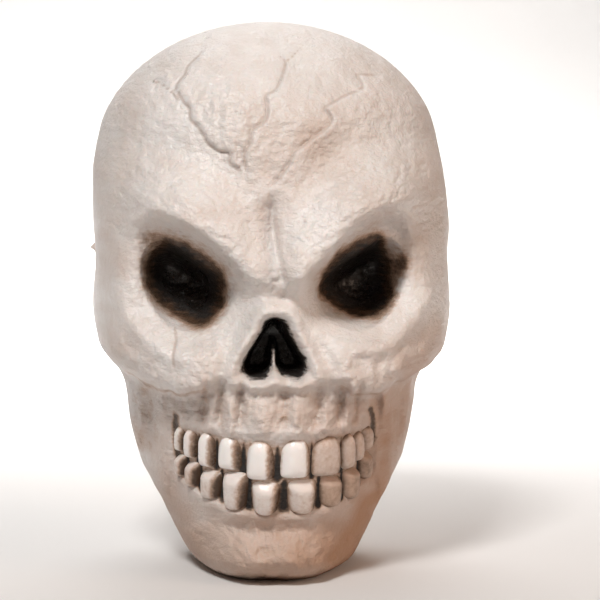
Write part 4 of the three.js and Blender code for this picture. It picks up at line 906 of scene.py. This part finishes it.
def tooth_row(name, teeth):
    """One object from a row of teeth, each with its own paint fields."""
    pieces = []
    for number, (left, right, gum, bite) in enumerate(teeth):
        sheet, a, b, up = tooth_sheet(left, right, gum, bite, number)
        middle = (left + right) / 2
        far = ease(18, 38, abs(middle))
        dim = ease(8, 22, middle)
        # painted shade: darker towards the mouth's ends and on the right
        haze_and_shade = tooth_shade_and_haze(a, b, up, 0.1 * far + 0.24 * dim)
        # painted shade in tan on the lower teeth, the far ones and those on the right
        fields = {"ink": np.full_like(haze_and_shade, INK_LOW) + 9.4 * ease(0.88, 1.0, a), "haze_and_shade": haze_and_shade,
                  "crack": np.full_like(haze_and_shade, FAR_AWAY), "tooth": np.ones_like(haze_and_shade),
                  "tan_and_shade": np.full_like(haze_and_shade, 0.04 + 0.22 * (up < 0) + 0.12 * far + 0.45 * dim)}
        pieces.append(closed_sheet(f"{name}_{number + 1}", sheet, outward=up, fields=fields))
    with bpy.context.temp_override(active_object=pieces[0], selected_editable_objects=pieces):
        bpy.ops.object.join()
    row = pieces[0]
    row.name = name
    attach(row, "skull")
    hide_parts("face_shell")
    return row


upper_row = tooth_row("teeth_upper", UPPER_TEETH)
lower_row = tooth_row("teeth_lower", LOWER_TEETH)
print("tooth rows:", upper_row.name, lower_row.name)

# %% [markdown]
# ## The back half
# The photograph doesn't show the back. It follows the same outline, with the ridge where the neck's
# muscles began, the bone behind each ear, a soft nape, and a flat for the hanger. A suture, a fine
# zigzag groove, runs down from the crown and parts in two, as on any skull.

# %% back surface
NECK_LEVEL = 0.39 * HEIGHT
EAR_LEVEL = 0.36 * HEIGHT
NAPE_LEVEL = 0.29 * HEIGHT
RIDGE_PROUD, EAR_PROUD, NAPE_DEPTH = 4.0, 6.0, 4.0
SUTURE_DEPTH, SUTURE_LIP = 1.2, 0.5
BACK_COLUMNS, BACK_ROWS, BACK_CROWDING = 240, 210, 0.82
BACK_SUTURES = [smooth_line(points, 4) for points in (
    [(0, 222), (2, 212), (-1.5, 203), (1.5, 194), (-1, 186), (0.5, 178)],
    [(0.5, 178), (-9, 172), (-15, 163), (-26, 156), (-33, 146), (-45, 139), (-52, 128)],
    [(0.5, 178), (10, 172), (16, 162), (27, 156), (34, 146), (46, 139), (53, 128)])]


def back_bone(x, z):
    """Half an ellipse at every level, with ridge, ear bone and nape as bells."""
    side = np.abs(x)
    wide = np.maximum(half_width(z), TINY)
    base = loft(BACK, z) * BACK_DEPTH * np.sqrt(np.maximum(1 - np.clip(side / wide, 0, 1) ** 2, 0))
    ridge = RIDGE_PROUD * bell((z - NECK_LEVEL + side / 6) / 5) * (1 - ease(30, 60, side))
    ridge = ridge * (1 + 0.2 * lumps(x / 5, z / 5, 40))
    ear = EAR_PROUD * bell((side - 0.72 * wide) / 8) * bell((z - EAR_LEVEL) / 13)
    nape = NAPE_DEPTH * bell((z - NAPE_LEVEL) / 12) * bell(x / 26)
    return base, np.maximum(base + ease(0, FORM_FADE, base) * (ridge + ear - nape), 0)


def back_skin(x, z):
    """Lumps with leathery creases and a zigzag groove along each suture; also the distance to it."""
    shape = 0.9 * lumps(x / 13, z / 12, 41) + 0.5 * lumps(x / 5, z / 5, 42)
    shape = shape + 0.3 * lumps(x / 2.4, z / 2.4, 43)
    patch = 0.55 + 0.45 * lumps(x / 17, z / 17, 45)
    shape = shape - patch * (0.6 * creases(x / 5, z / 4, 46) + 0.3 * creases(x / 2.8, z / 2.5, 48))
    wander = 1.1 * lumps(x / 2.4, z / 2.4, 44) + 0.6 * lumps(x / 1.3, z / 1.3, 49)
    nearest = np.full(np.shape(x), FAR_AWAY)
    for line in BACK_SUTURES:
        nearest = np.minimum(nearest, np.abs(line_field(x, z, line)[0] + wander))
    return shape - SUTURE_DEPTH * bell(nearest) + SUTURE_LIP * bell((nearest - 3) / 2.0), nearest


strap_low, strap_high = (np.array(corner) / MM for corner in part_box("hang_strap"))
FLAT_LEVEL = strap_low[1] - FIT_GAP
FLAT_HALF, FLAT_LOW, FLAT_TOP, FLAT_BLEND = 17.0, 122.0, 166.0, 1.2
back_rows = rows_over(BEND, ((0, BEND, BACK_ROWS),))
back_z = np.repeat(back_rows[:, None], BACK_COLUMNS, axis=1)
back_x = packed(BACK_COLUMNS, BACK_CROWDING)[None, :] * half_width(back_rows)[:, None]
back_base, back_form = back_bone(back_x, back_z)
back_relief, back_crack = back_skin(back_x, back_z)
back_depth = back_form + ease(0, FORM_FADE, back_base) * back_relief
flat = between(-FLAT_HALF, FLAT_HALF, FLAT_BLEND, back_x) * between(FLAT_LOW, FLAT_TOP, FLAT_BLEND, back_z)
flat_depth = np.minimum(back_depth, FLAT_LEVEL - BACK_PLANE)
back_depth = np.maximum(back_depth * (1 - flat) + flat_depth * flat, 0)
back_depth[:, [0, -1]] = 0
back_depth[-1] = 0
print("back grid:", back_x.shape, "deepest", round(float(back_depth.max()), 1), "mm")

# %% [markdown]
# ## Screw wells
# Six screws pull the halves together from behind. Each stands at the bottom of a round well that
# runs straight back out of the moulding. A grid can't make a clean round hole, so a Boolean modifier
# cuts the wells with plain round bars, and its result is kept as the mesh.

# %% back piece with wells
SCREW_NODES = [f"shell_screw_{number}" for number in range(1, 7)]
WELL_RADIUS = 4.5
WELL_SIDES = 40
WELL_LONG = 120.0
WELL_FLOOR = 8.0
SEAT_LEVEL = BACK_PLANE + WELL_FLOOR


def lathe(profile, sides, middle):
    """Rings of points about a line along Y: each profile pair is a radius and a place along the line."""
    turn = np.linspace(0, 2 * np.pi, sides, endpoint=False)
    radius, along = np.asarray(profile, float).T
    return np.stack([middle[0] + radius[:, None] * np.cos(turn),
                     np.repeat(along[:, None] + middle[1], sides, 1),
                     middle[2] + radius[:, None] * np.sin(turn)], -1)


def closed_tube(name, rings, smooth=True):
    """A closed round solid: squares between rings, a flat face on each end."""
    count, sides = rings.shape[:2]
    index = np.arange(count * sides).reshape(count, sides)
    after = np.roll(index, -1, axis=1)
    walls = np.stack([index[:-1], index[1:], after[1:], after[:-1]], -1).reshape(-1, 4).tolist()
    faces = walls + [index[0].tolist(), index[-1, ::-1].tolist()]
    mesh = bpy.data.meshes.new(name)
    mesh.from_pydata((rings.reshape(-1, 3) * MM).tolist(), [], faces)
    mesh.polygons.foreach_set("use_smooth", [smooth] * len(walls) + [False, False])
    mesh.update()
    piece = bpy.data.objects.new(name, mesh)
    bpy.context.scene.collection.objects.link(piece)
    return piece


def node_middle(node):
    """The middle and the upper corner of a CAD node's box, in millimetres."""
    low, high = (np.array(corner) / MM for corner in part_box(node))
    return (low + high) / 2, high


back_sheet = np.stack([fuller(back_x, back_z), BACK_PLANE + back_depth, back_z], -1)
# the back gets the same painted shade: darker low down and towards the outline
back_fields = {"tan_and_shade": tan_and_shade(back_x, back_z, 0), "crack": back_crack}
back_piece = closed_sheet("skull_back", back_sheet, outward=-1, pole=True, fields=back_fields)
for node in SCREW_NODES:
    middle = node_middle(node)[0]
    bar_profile = [(WELL_RADIUS, SEAT_LEVEL), (WELL_RADIUS, SEAT_LEVEL + WELL_LONG)]
    cutter = closed_tube("well_cutter", lathe(bar_profile, WELL_SIDES, (middle[0], 0, middle[2])))
    cut = back_piece.modifiers.new("well", "BOOLEAN")
    cut.operation, cut.solver, cut.object = "DIFFERENCE", "EXACT", cutter
    kept = bpy.data.meshes.new_from_object(back_piece.evaluated_get(bpy.context.evaluated_depsgraph_get()))
    back_piece.modifiers.clear()
    back_piece.data = kept
    bpy.data.objects.remove(cutter)
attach(back_piece, "skull")
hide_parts("cranium_shell")
print("back with wells:", len(back_piece.data.polygons), "faces")

# %% [markdown]
# ## The seam
# Where two mould halves meet, a thread of plastic squeezes out. It shows as a fine raised line round
# the silhouette, with one larger flake left standing at the left temple. It is a thin strip carried
# along the outline, and noise makes its height uneven.

# %% seam
SEAM_STEPS = 360
SEAM_START = 0.6
SEAM_SUNK, SEAM_HALF, SEAM_TIP = 2.5, 0.12, 0.05
SEAM_REACH, SEAM_UNEVEN = 0.16, 0.14
FLAKE_LEVEL, FLAKE_REACH, FLAKE_TALL = 134.0, 2.2, 1.3
seam_turn = np.linspace(0, np.pi / 2, SEAM_STEPS)
seam_rise = np.concatenate([np.linspace(SEAM_START, BEND, SEAM_STEPS, endpoint=False),
                            BEND + (HEIGHT - BEND) * np.sin(seam_turn)])
seam_x = np.concatenate([-half_width(seam_rise), half_width(seam_rise[:-1])[::-1]])
seam_z = np.concatenate([seam_rise, seam_rise[:-1][::-1]])
seam_x = fuller(seam_x, seam_z)
seam_slope = np.stack([np.gradient(seam_x), np.gradient(seam_z)], -1)
seam_slope /= np.linalg.norm(seam_slope, axis=1, keepdims=True)
seam_out = np.stack([-seam_slope[:, 1], seam_slope[:, 0]], -1)
flake = FLAKE_REACH * bell((seam_z - FLAKE_LEVEL) / FLAKE_TALL) * (seam_x < 0)
seam_noise = lumps(np.arange(len(seam_x)) / 9, np.zeros(len(seam_x)), 51)
seam_reach = SEAM_REACH + SEAM_UNEVEN * seam_noise + flake
seam_half = [(-SEAM_SUNK, SEAM_HALF), (0.0, SEAM_HALF), (1.0, SEAM_TIP)]
seam_profile = np.array([(-SEAM_SUNK, -SEAM_HALF)] + seam_half + [(1.0, -SEAM_TIP), (0.0, -SEAM_HALF)])
seam_away = np.where(seam_profile[:, 0] > 0, seam_reach[:, None], seam_profile[:, 0])
seam_rings = np.stack([seam_x[:, None] + seam_away * seam_out[:, :1],
                       np.broadcast_to((FACE_PLANE + BACK_PLANE) / 2 + seam_profile[:, 1], seam_away.shape),
                       seam_z[:, None] + seam_away * seam_out[:, 1:]], -1)
seam_piece = closed_tube("mould_seam", seam_rings, smooth=False)
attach(seam_piece, "skull")
print("seam:", len(seam_piece.data.polygons), "faces")

# %% [markdown]
# ## Screws
# A pan-head screw is a lathe shape, apart from its cross recess and its thread. Both are worked into
# the same rings: the recess lowers the head's points inside a cross, and the thread moves the shank's
# points in and out along a helix.

# %% screws
SCREW_SIDES, SHANK_ROWS = 48, 90
SHELL_SCREW_LONG, HANGER_SCREW_LONG = 16.0, 10.0
CORE_RADIUS, THREAD_DEPTH, THREAD_PITCH = 1.2, 0.5, 1.4
HEAD_TALL, HEAD_TOP = 2.4, 1.9
CROSS_HALF, CROSS_REACH, CROSS_DEPTH = 0.45, 2.0, 1.3
HEAD_RADII = np.array((1.75, 3.3, 3.5, 3.5, 3.42, 3.2, 2.9, 2.5, 2.1, 1.7, 1.3, 0.9, 0.5, 0.2, 0.02))
HEAD_RISES = np.array((0.0, 0.0, 0.15, 1.2, 1.5, 1.75, 1.95, 2.12, 2.22, 2.29, 2.34, 2.37, 2.39, 2.4, 2.4))


def screw_rings(node, length):
    """Rings from the tip to the head's middle: a helix on the shank, a dome with a cross sunk into it."""
    middle, high = node_middle(node)
    head = high[1] - HEAD_TALL
    turn = np.linspace(0, 2 * np.pi, SCREW_SIDES, endpoint=False)
    shank_y = np.linspace(-length, 0, SHANK_ROWS)
    ridge = np.abs(((shank_y[:, None] / THREAD_PITCH - turn / (2 * np.pi)) % 1) - 0.5) * 2
    core = CORE_RADIUS * ease(-length - 0.2, -length + 3, shank_y)[:, None]
    thread = THREAD_DEPTH * ridge ** 2 * ease(-length, -length + 2, shank_y)[:, None]
    shank_r = np.maximum(core + thread, HEAD_RADII[-1])
    radius = np.concatenate([shank_r, np.repeat(HEAD_RADII[:, None], SCREW_SIDES, 1)])
    along = np.repeat(np.concatenate([shank_y, HEAD_RISES])[:, None], SCREW_SIDES, 1)
    across, upward = radius * np.cos(turn), radius * np.sin(turn)
    arm = np.minimum(np.maximum(np.abs(across) - CROSS_HALF, np.abs(upward) - CROSS_REACH),
                     np.maximum(np.abs(upward) - CROSS_HALF, np.abs(across) - CROSS_REACH))
    along = along - np.where(along > HEAD_TOP, CROSS_DEPTH * (1 - ease(-0.1, 0.25, arm)), 0)
    return np.stack([middle[0] + across, head + along, middle[2] + upward], -1)


screw_pieces = []
for node in SCREW_NODES + ["hanger_screw"]:
    long = HANGER_SCREW_LONG if node == "hanger_screw" else SHELL_SCREW_LONG
    screw = closed_tube(node.replace("screw", "fixing"), screw_rings(node, long))
    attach(screw, "skull")
    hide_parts(node)
    screw_pieces.append(screw)
print("screws:", [piece.name for piece in screw_pieces])

# %% [markdown]
# ## Hanger strap and ring
# The strap is a strip of sheet steel, rounded at its foot and rolled into an eye at its top. The roll
# is the strip's own path, so the strap is one profile carried along that path. The ring is a wire
# bent into a D, swept along its line.

# %% strap
ring_low, ring_high = (np.array(corner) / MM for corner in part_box("hang_ring"))
RING_WIRE = (ring_high[1] - ring_low[1]) / 2
RING_Y = (ring_high[1] + ring_low[1]) / 2
EYE_OUTER = 2.8
HANGER_LEVEL = strap_high[2] - EYE_OUTER
STRAP_THICK = 1.2
STRAP_EDGE = 0.18
EYE_MIDDLE = EYE_OUTER - STRAP_THICK / 2
STRAP_HALF = strap_high[0]
STRAP_STEPS = 60
EYE_END = -0.62 * np.pi


def strap_path():
    """Up the flat from the foot to the eye, then once round the ring's bar and back on to the strip."""
    rise = np.linspace(strap_low[2], HANGER_LEVEL, STRAP_STEPS)
    straight = np.stack([np.full(STRAP_STEPS, strap_low[1] + STRAP_THICK / 2), rise], -1)
    turn = np.linspace(np.pi, EYE_END, STRAP_STEPS)
    round_eye = np.stack([RING_Y + EYE_MIDDLE * np.cos(turn), HANGER_LEVEL + EYE_MIDDLE * np.sin(turn)], -1)
    return np.vstack([straight[:-1], round_eye])


def strap_sheet():
    """A flat strip's section carried along the path; its half width follows the rounded foot."""
    path = strap_path()
    step = np.gradient(path, axis=0)
    step /= np.linalg.norm(step, axis=1, keepdims=True)
    out = np.stack([step[:, 1], -step[:, 0]], -1)
    foot = np.clip((path[:, 1] - strap_low[2]) / STRAP_HALF, 0, 1)
    flat_part = np.arange(len(path)) < STRAP_STEPS - 1
    half = np.where(flat_part, STRAP_HALF * np.sqrt(np.maximum(1 - (1 - foot) ** 2, 0.002)), STRAP_HALF)
    section_x = np.repeat((-1.0, 1.0, -1.0), (3, 6, 3))
    inset = STRAP_EDGE * np.array((0, 0, 1, 1, 0, 0, 0, 0, 1, 1, 0, 0))
    lift = np.repeat((0.5, -0.5), 6) * STRAP_THICK
    lift = lift - np.sign(lift) * np.where(inset > 0, 0, STRAP_EDGE)
    across = section_x * np.maximum(half[:, None] - inset, 0.02)
    return np.stack([across, path[:, :1] + lift * out[:, :1], path[:, 1:] + lift * out[:, 1:]], -1)


strap_piece = closed_tube("ring_strap", strap_sheet(), smooth=False)
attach(strap_piece, "skull")
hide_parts("hang_strap")
print("strap:", len(strap_piece.data.polygons), "faces")

# %% ring
RING_SIDES = 28
RING_CORNER = 2.0
BAR_STEPS, CORNER_STEPS, BOW_STEPS = 30, 10, 70


def ring_line():
    """A closed D: a bar through the eye, rounded corners, straight sides and a half round below."""
    half = ring_high[0] - RING_WIRE
    bottom = ring_low[2] + RING_WIRE
    low = bottom + half
    top = HANGER_LEVEL
    inner, under = half - RING_CORNER, top - RING_CORNER
    bar_line = np.stack([np.linspace(-inner, inner, BAR_STEPS), np.full(BAR_STEPS, top)], -1)
    corner = np.linspace(np.pi / 2, 0, CORNER_STEPS)
    right_corner = np.stack([inner + RING_CORNER * np.cos(corner), under + RING_CORNER * np.sin(corner)], -1)
    bow = np.linspace(0, -np.pi, BOW_STEPS)
    bow_line = np.stack([half * np.cos(bow), low + half * np.sin(bow)], -1)
    left_corner = right_corner[::-1] * (-1, 1)
    return np.vstack([bar_line, right_corner[1:], bow_line, left_corner[:-1]])


def ring_piece_mesh(name):
    """A round wire swept along the closed line; both ends of the sweep are one ring of points."""
    line = ring_line()
    step = np.roll(line, -1, axis=0) - np.roll(line, 1, axis=0)
    step /= np.linalg.norm(step, axis=1, keepdims=True)
    out = np.stack([step[:, 1], -step[:, 0]], -1)
    turn = np.linspace(0, 2 * np.pi, RING_SIDES, endpoint=False)
    x = line[:, :1] + RING_WIRE * np.cos(turn) * out[:, :1]
    z = line[:, 1:] + RING_WIRE * np.cos(turn) * out[:, 1:]
    y = np.broadcast_to(RING_Y + RING_WIRE * np.sin(turn), x.shape)
    rings = np.stack([x, y, z], -1)
    index = np.arange(rings.shape[0] * RING_SIDES).reshape(-1, RING_SIDES)
    ahead = np.roll(index, -1, axis=0)
    faces = np.stack([index, ahead, np.roll(ahead, -1, 1), np.roll(index, -1, 1)], -1).reshape(-1, 4)
    mesh = bpy.data.meshes.new(name)
    mesh.from_pydata((rings.reshape(-1, 3) * MM).tolist(), [], faces.tolist())
    mesh.polygons.foreach_set("use_smooth", [True] * len(faces))
    mesh.update()
    piece = bpy.data.objects.new(name, mesh)
    bpy.context.scene.collection.objects.link(piece)
    return piece


ring_piece = ring_piece_mesh("wall_ring")
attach(ring_piece, "ring")
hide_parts("hang_ring")
print("ring:", len(ring_piece.data.polygons), "faces")

# %% [markdown]
# ## Writing a finish as an expression
# A material is a graph of nodes, and graphs are slow to read. This small class wraps a node's output so
# that `1 - mask * 0.5` adds the Math nodes by itself. Every other kind of node comes from its one
# method, which takes the node's type, its settings, and what its sockets get.

# %% shader class
class Flow:
    """An output socket in a material's tree that can be used in a Python expression."""

    def __init__(self, tree, socket=None):
        self.tree = tree
        self.socket = socket

    def node(self, kind, settings=None, sockets=None, output=0):
        """A node of that type with its settings made first, then its sockets; gives one output."""
        made = self.tree.nodes.new(kind)
        for key, value in (settings or {}).items():
            setattr(made, key, value)
        for key, value in (sockets or {}).items():
            if isinstance(value, Flow):
                self.tree.links.new(value.socket, made.inputs[key])
            else:
                made.inputs[key].default_value = value
        return Flow(self.tree, made.outputs[output]) if len(made.outputs) else made

    def math(self, operation, first, second):
        """A Math node with that operation on two values."""
        return self.node("ShaderNodeMath", {"operation": operation}, {0: first, 1: second})

    def __add__(self, other):
        return self.math("ADD", self, other)

    def __radd__(self, other):
        return self.math("ADD", other, self)

    def __sub__(self, other):
        return self.math("SUBTRACT", self, other)

    def __rsub__(self, other):
        return self.math("SUBTRACT", other, self)

    def __mul__(self, other):
        return self.math("MULTIPLY", self, other)

    def step(self, low, high):
        """0 below low and 1 above high, along a smooth S."""
        return self.node("ShaderNodeMapRange", {"interpolation_type": "SMOOTHSTEP"},
                         {"Value": self, "From Min": low, "From Max": high})

    def mix(self, first, second):
        """From the first colour to the second as this value goes from 0 to 1."""
        return self.node("ShaderNodeMix", {"data_type": "RGBA"}, {0: self, 6: first, 7: second}, 2)

    def stretched(self, stretch):
        """This place times a stretch along each axis; a small one draws the noise out along it."""
        return self.node("ShaderNodeVectorMath", {"operation": "MULTIPLY"}, {0: self, 1: stretch})

    def noise(self, scale, detail=2.0, rough=0.5):
        """Soft noise from 0 to 1, with the place that this flow holds; scale counts lumps in a metre."""
        sockets = {"Vector": self, "Scale": scale, "Detail": detail, "Roughness": rough}
        return self.node("ShaderNodeTexNoise", None, sockets)


def new_finish(name):
    """An empty material: its tree's start, its Principled shader and nothing else."""
    material = bpy.data.materials.new(name)
    material.use_nodes = True
    tree = material.node_tree
    tree.nodes.clear()
    shader = tree.nodes.new("ShaderNodeBsdfPrincipled")
    output = tree.nodes.new("ShaderNodeOutputMaterial")
    tree.links.new(shader.outputs[0], output.inputs["Surface"])
    return material, Flow(tree), shader


def feed(shader, flow, **sockets):
    """Links each flow to the Principled socket of that name, with _ for a space."""
    for name, value in sockets.items():
        flow.tree.links.new(value.socket, shader.inputs[name.replace("_", " ")])


print("shader class ready")

# %% [markdown]
# ## Painted bone plastic
# The plastic is a warm white with a soft sheen, in two close shades that drift. Noise at several sizes
# makes the mottling, the wrinkles and the fine pores. Painted shade turns it tan and dull towards the jaw,
# the right-hand side and the outline, and a painted shadow darkens the cracks. The paint's field plus
# noise gives the frayed black edge, glossy only where it pooled deep inside, and the haze, with the painted
# shade beside it, goes from tan to dark brown. Light goes about a millimetre into the plastic, so the
# shadows stay warm.

# %% bone finish
SHADE_LOW, SHADE_HIGH = (0.69, 0.645, 0.615, 1), (0.75, 0.712, 0.69, 1)
MOTTLE_TINT = (0.63, 0.55, 0.50, 1)
TOOTH_WHITE = (0.95, 0.92, 0.90, 1)
PAINTED_SHADE_TAN = (0.40, 0.225, 0.135, 1)
CRACK_SHADOW = (0.42, 0.31, 0.25, 1)
HAZE_AND_SHADE_TAN, HAZE_AND_SHADE_BROWN = (0.48, 0.335, 0.25, 1), (0.075, 0.042, 0.024, 1)
INK_BLACK = (0.015, 0.0115, 0.0095, 1)
WRINKLE_STRETCH, BRISTLE_STRETCH = (0.4, 0.4, 1.0), (0.16, 0.16, 1.0)
BUMP_DEPTH = 0.001
SHEEN = {"Specular IOR Level": 0.48, "Subsurface Weight": 0.15, "Subsurface Radius": (1.0, 0.45, 0.3),
         "Subsurface Scale": 0.0012}
GLOSS_COAT = 0.5
GLOSS_ROUGHNESS = 0.2


def bone_finish(painted):
    """Warm white with pores, painted shade in tan and in the cracks; painted adds the black, the haze and
    the painted shade of face and teeth.
    """
    material, start, shader = new_finish("painted_bone" if painted else "plain_bone")
    place = start.node("ShaderNodeTexCoord", output=3)
    cloud, mottle = place.noise(28, 3), place.noise(160, 4, 0.6)
    pore, fine = place.noise(620, 3, 0.6), place.noise(1500, 2)
    wrinkle = place.stretched(WRINKLE_STRETCH).noise(420.0, 3.0, 0.6)

    def field(name):
        return start.node("ShaderNodeAttribute", {"attribute_name": name}, output=2)
    tooth, tan_shade = field("tooth"), field("tan_and_shade")
    height = (mottle - 0.5) * 0.7 + (wrinkle - 0.5) * 0.8 + (pore - 0.5) * 0.5 + (fine - 0.5) * 0.14
    rough = 0.33 + tan_shade * 0.4 + (mottle - 0.5) * 0.3 + (pore - 0.5) * 0.16
    colour = cloud.step(0.3, 0.7).mix(SHADE_LOW, SHADE_HIGH)
    colour = (mottle.step(0.5, 0.72) * 0.3).mix(colour, MOTTLE_TINT)
    colour = (tooth * 0.85).mix(colour, TOOTH_WHITE)
    # painted shade in tan towards the jaw, the right and the outline
    colour = tan_shade.mix(colour, PAINTED_SHADE_TAN)
    # painted shadow along the cracks and the sutures
    line = (1 - field("crack").step(0.1, 1.0)) * 0.5
    colour = line.mix(colour, CRACK_SHADOW)
    if painted:
        ink, haze_and_shade = field("ink"), field("haze_and_shade")
        bare = 1 - tooth
        stroke = place.stretched(BRISTLE_STRETCH).noise(800.0)
        fray = (pore - 0.5) * 2.6 + (mottle - 0.5) * 4.2 + (fine - 0.5) * 1.6 + (stroke - 0.5) * 7.0
        black = (ink + fray).step(-1.6, 1.8)
        speckle = (pore - 0.5) * 0.5 + (mottle - 0.5) * 0.45 + (stroke - 0.5) * bare * 0.5
        # the haze and the painted shade round the teeth, under the brows and the cheekbones go from tan to
        # dark brown
        soft = (haze_and_shade + speckle) * haze_and_shade.step(0.02, 0.2)
        colour = soft.step(0.02, 0.55).mix(colour, HAZE_AND_SHADE_TAN)
        colour = soft.step(0.3, 0.95).mix(colour, HAZE_AND_SHADE_BROWN)
        colour = black.mix(colour, INK_BLACK)
        deep = ink.step(2.6, 4.4)
        rough = rough - tooth * 0.12 + black * 0.2 - deep * (0.2 + (mottle - 0.35) * 0.6)
        height = height * (0.25 + bare * 0.75) * (1 + black * 0.3)
        feed(shader, start, Coat_Weight=deep * GLOSS_COAT)
        shader.inputs["Coat Roughness"].default_value = GLOSS_ROUGHNESS
    bump = start.node("ShaderNodeBump", None, {"Strength": 1.0, "Distance": BUMP_DEPTH, "Height": height})
    feed(shader, start, Base_Color=colour, Roughness=rough, Normal=bump)
    for name, value in SHEEN.items():
        shader.inputs[name].default_value = value
    return material


painted_pieces, plain_pieces = (face_piece, upper_row, lower_row), (back_piece, seam_piece)
for pieces, finish in ((painted_pieces, bone_finish(True)), (plain_pieces, bone_finish(False))):
    for piece in pieces:
        piece.data.materials.clear()
        piece.data.materials.append(finish)
print("bone finish on", len(painted_pieces) + len(plain_pieces), "pieces")

# %% [markdown]
# ## Steel
# The screws are bright steel and the strap and ring are zinc-plated. Both are metal with a small
# spread of roughness: zinc has the cloudy spangle of its plating, steel a finer grain.

# %% steel finish
SCRATCH_DEPTH = 0.0001


def steel_finish(name, dark, pale, scale, rough_low, rough_high):
    """Metal whose colour and roughness drift together over the noise."""
    material, start, shader = new_finish(name)
    place = start.node("ShaderNodeTexCoord", output=3)
    grain = place.noise(scale, 4.0)
    scratch = place.noise(scale * 6)
    drift = grain.step(0.3, 0.7)
    colour = drift.mix(dark, pale)
    rough = rough_low + drift * (rough_high - rough_low) + (scratch - 0.5) * 0.12
    marks = {"Strength": 0.3, "Distance": SCRATCH_DEPTH, "Height": scratch}
    bump = start.node("ShaderNodeBump", None, marks)
    feed(shader, start, Base_Color=colour, Roughness=rough, Normal=bump)
    shader.inputs["Metallic"].default_value = 1.0
    return material


screw_steel = steel_finish("screw_steel", dark=(0.46, 0.47, 0.48, 1), pale=(0.66, 0.67, 0.68, 1),
                           scale=700, rough_low=0.2, rough_high=0.36)
zinc_steel = steel_finish("zinc_steel", dark=(0.40, 0.41, 0.43, 1), pale=(0.58, 0.59, 0.60, 1),
                          scale=320, rough_low=0.28, rough_high=0.5)
for piece in screw_pieces:
    piece.data.materials.append(screw_steel)
for piece in (strap_piece, ring_piece):
    piece.data.materials.append(zinc_steel)
print("steel on", len(screw_pieces) + 2, "pieces")

# %% [markdown]
# ## Stage and light
# A pale sheet curves up behind the skull, so there is no horizon. One soft lamp stands high on the
# left, as in the photograph, and a weaker warm one on the right keeps the shadows open. Two more light
# only the floor and the wall behind, so that the ground is nearly white.

# %% stage
FLOOR_FRONT, FLOOR_BACK, WALL_Y, WALL_TOP, STAGE_HALF = -4.0, 2.0, 3.0, 4.0, 5.0
FLOOR_STEPS, BEND_STEPS, STAGE_COLUMNS = 8, 16, 6
PAPER, PAPER_ROUGHNESS = (0.74, 0.735, 0.73, 1), 0.9


def stage_sheet():
    """A floor that bends up into a wall along a quarter circle, wide enough for every view."""
    turn = np.linspace(0, np.pi / 2, BEND_STEPS)
    floor = np.linspace(FLOOR_FRONT, FLOOR_BACK, FLOOR_STEPS)
    along = np.concatenate([floor, FLOOR_BACK + np.sin(turn), [WALL_Y]])
    rise = np.concatenate([np.zeros(FLOOR_STEPS), 1 - np.cos(turn), [WALL_TOP]])
    x, y = np.meshgrid(np.linspace(-STAGE_HALF, STAGE_HALF, STAGE_COLUMNS), along)
    z = np.repeat(rise[:, None], STAGE_COLUMNS, axis=1)
    index = np.arange(x.size).reshape(x.shape)
    faces = np.stack([index[:-1, :-1], index[:-1, 1:], index[1:, 1:], index[1:, :-1]], -1).reshape(-1, 4)
    mesh = bpy.data.meshes.new("stage_sheet")
    mesh.from_pydata(np.stack([x, y, z], -1).reshape(-1, 3).tolist(), [], faces.tolist())
    mesh.polygons.foreach_set("use_smooth", [True] * len(faces))
    return bpy.data.objects.new("stage_sheet", mesh)


stage = stage_sheet()
bpy.context.scene.collection.objects.link(stage)
stage_paint, _, stage_shader = new_finish("stage_paper")
stage_shader.inputs["Base Color"].default_value = PAPER
stage_shader.inputs["Roughness"].default_value = PAPER_ROUGHNESS
stage.data.materials.append(stage_paint)
print("stage sheet:", len(stage.data.polygons), "faces")

# %% lights
def soft_lamp(name, place, aim, size, power, colour, spread=180):
    """A square lamp that faces the place it aims at; spread is its cone in degrees."""
    lamp = bpy.data.lights.new(name, "AREA")
    lamp.size, lamp.energy, lamp.color, lamp.spread = size, power, colour, math.radians(spread)
    stand = bpy.data.objects.new(name, lamp)
    stand.location = place
    stand.rotation_euler = (Vector(place) - Vector(aim)).to_track_quat("Z", "Y").to_euler()
    bpy.context.scene.collection.objects.link(stand)


FACE_MIDDLE = (0, -0.05, 0.13)
KEY_WHITE, FILL_PEACH, GROUND_WHITE = (1.0, 0.99, 0.975), (1.0, 0.74, 0.58), (1.0, 0.99, 0.98)
ROOM_COLOUR, ROOM_STRENGTH = (1.0, 0.78, 0.64, 1), 0.12
soft_lamp("key_lamp", (-0.3, -0.92, 1.06), FACE_MIDDLE, size=0.26, power=13.8, colour=KEY_WHITE)
soft_lamp("fill_lamp", (1.1, -0.8, 0.7), FACE_MIDDLE, size=0.8, power=6.0, colour=FILL_PEACH)
soft_lamp("floor_lamp", (0.0, 1.5, 1.7), (0, 1.5, 0), size=1.2, power=36, colour=GROUND_WHITE, spread=80)
soft_lamp("wall_lamp", (0.0, 2.0, 2.0), (0, 2.8, 0.7), size=1.8, power=36, colour=GROUND_WHITE)
world = bpy.data.worlds.new("soft_room")
world.use_nodes = True
world.node_tree.nodes["Background"].inputs["Color"].default_value = ROOM_COLOUR
world.node_tree.nodes["Background"].inputs["Strength"].default_value = ROOM_STRENGTH
bpy.context.scene.view_settings.view_transform = "Standard"
bpy.context.scene.world = world
print("lamps: key, fill, floor and wall")
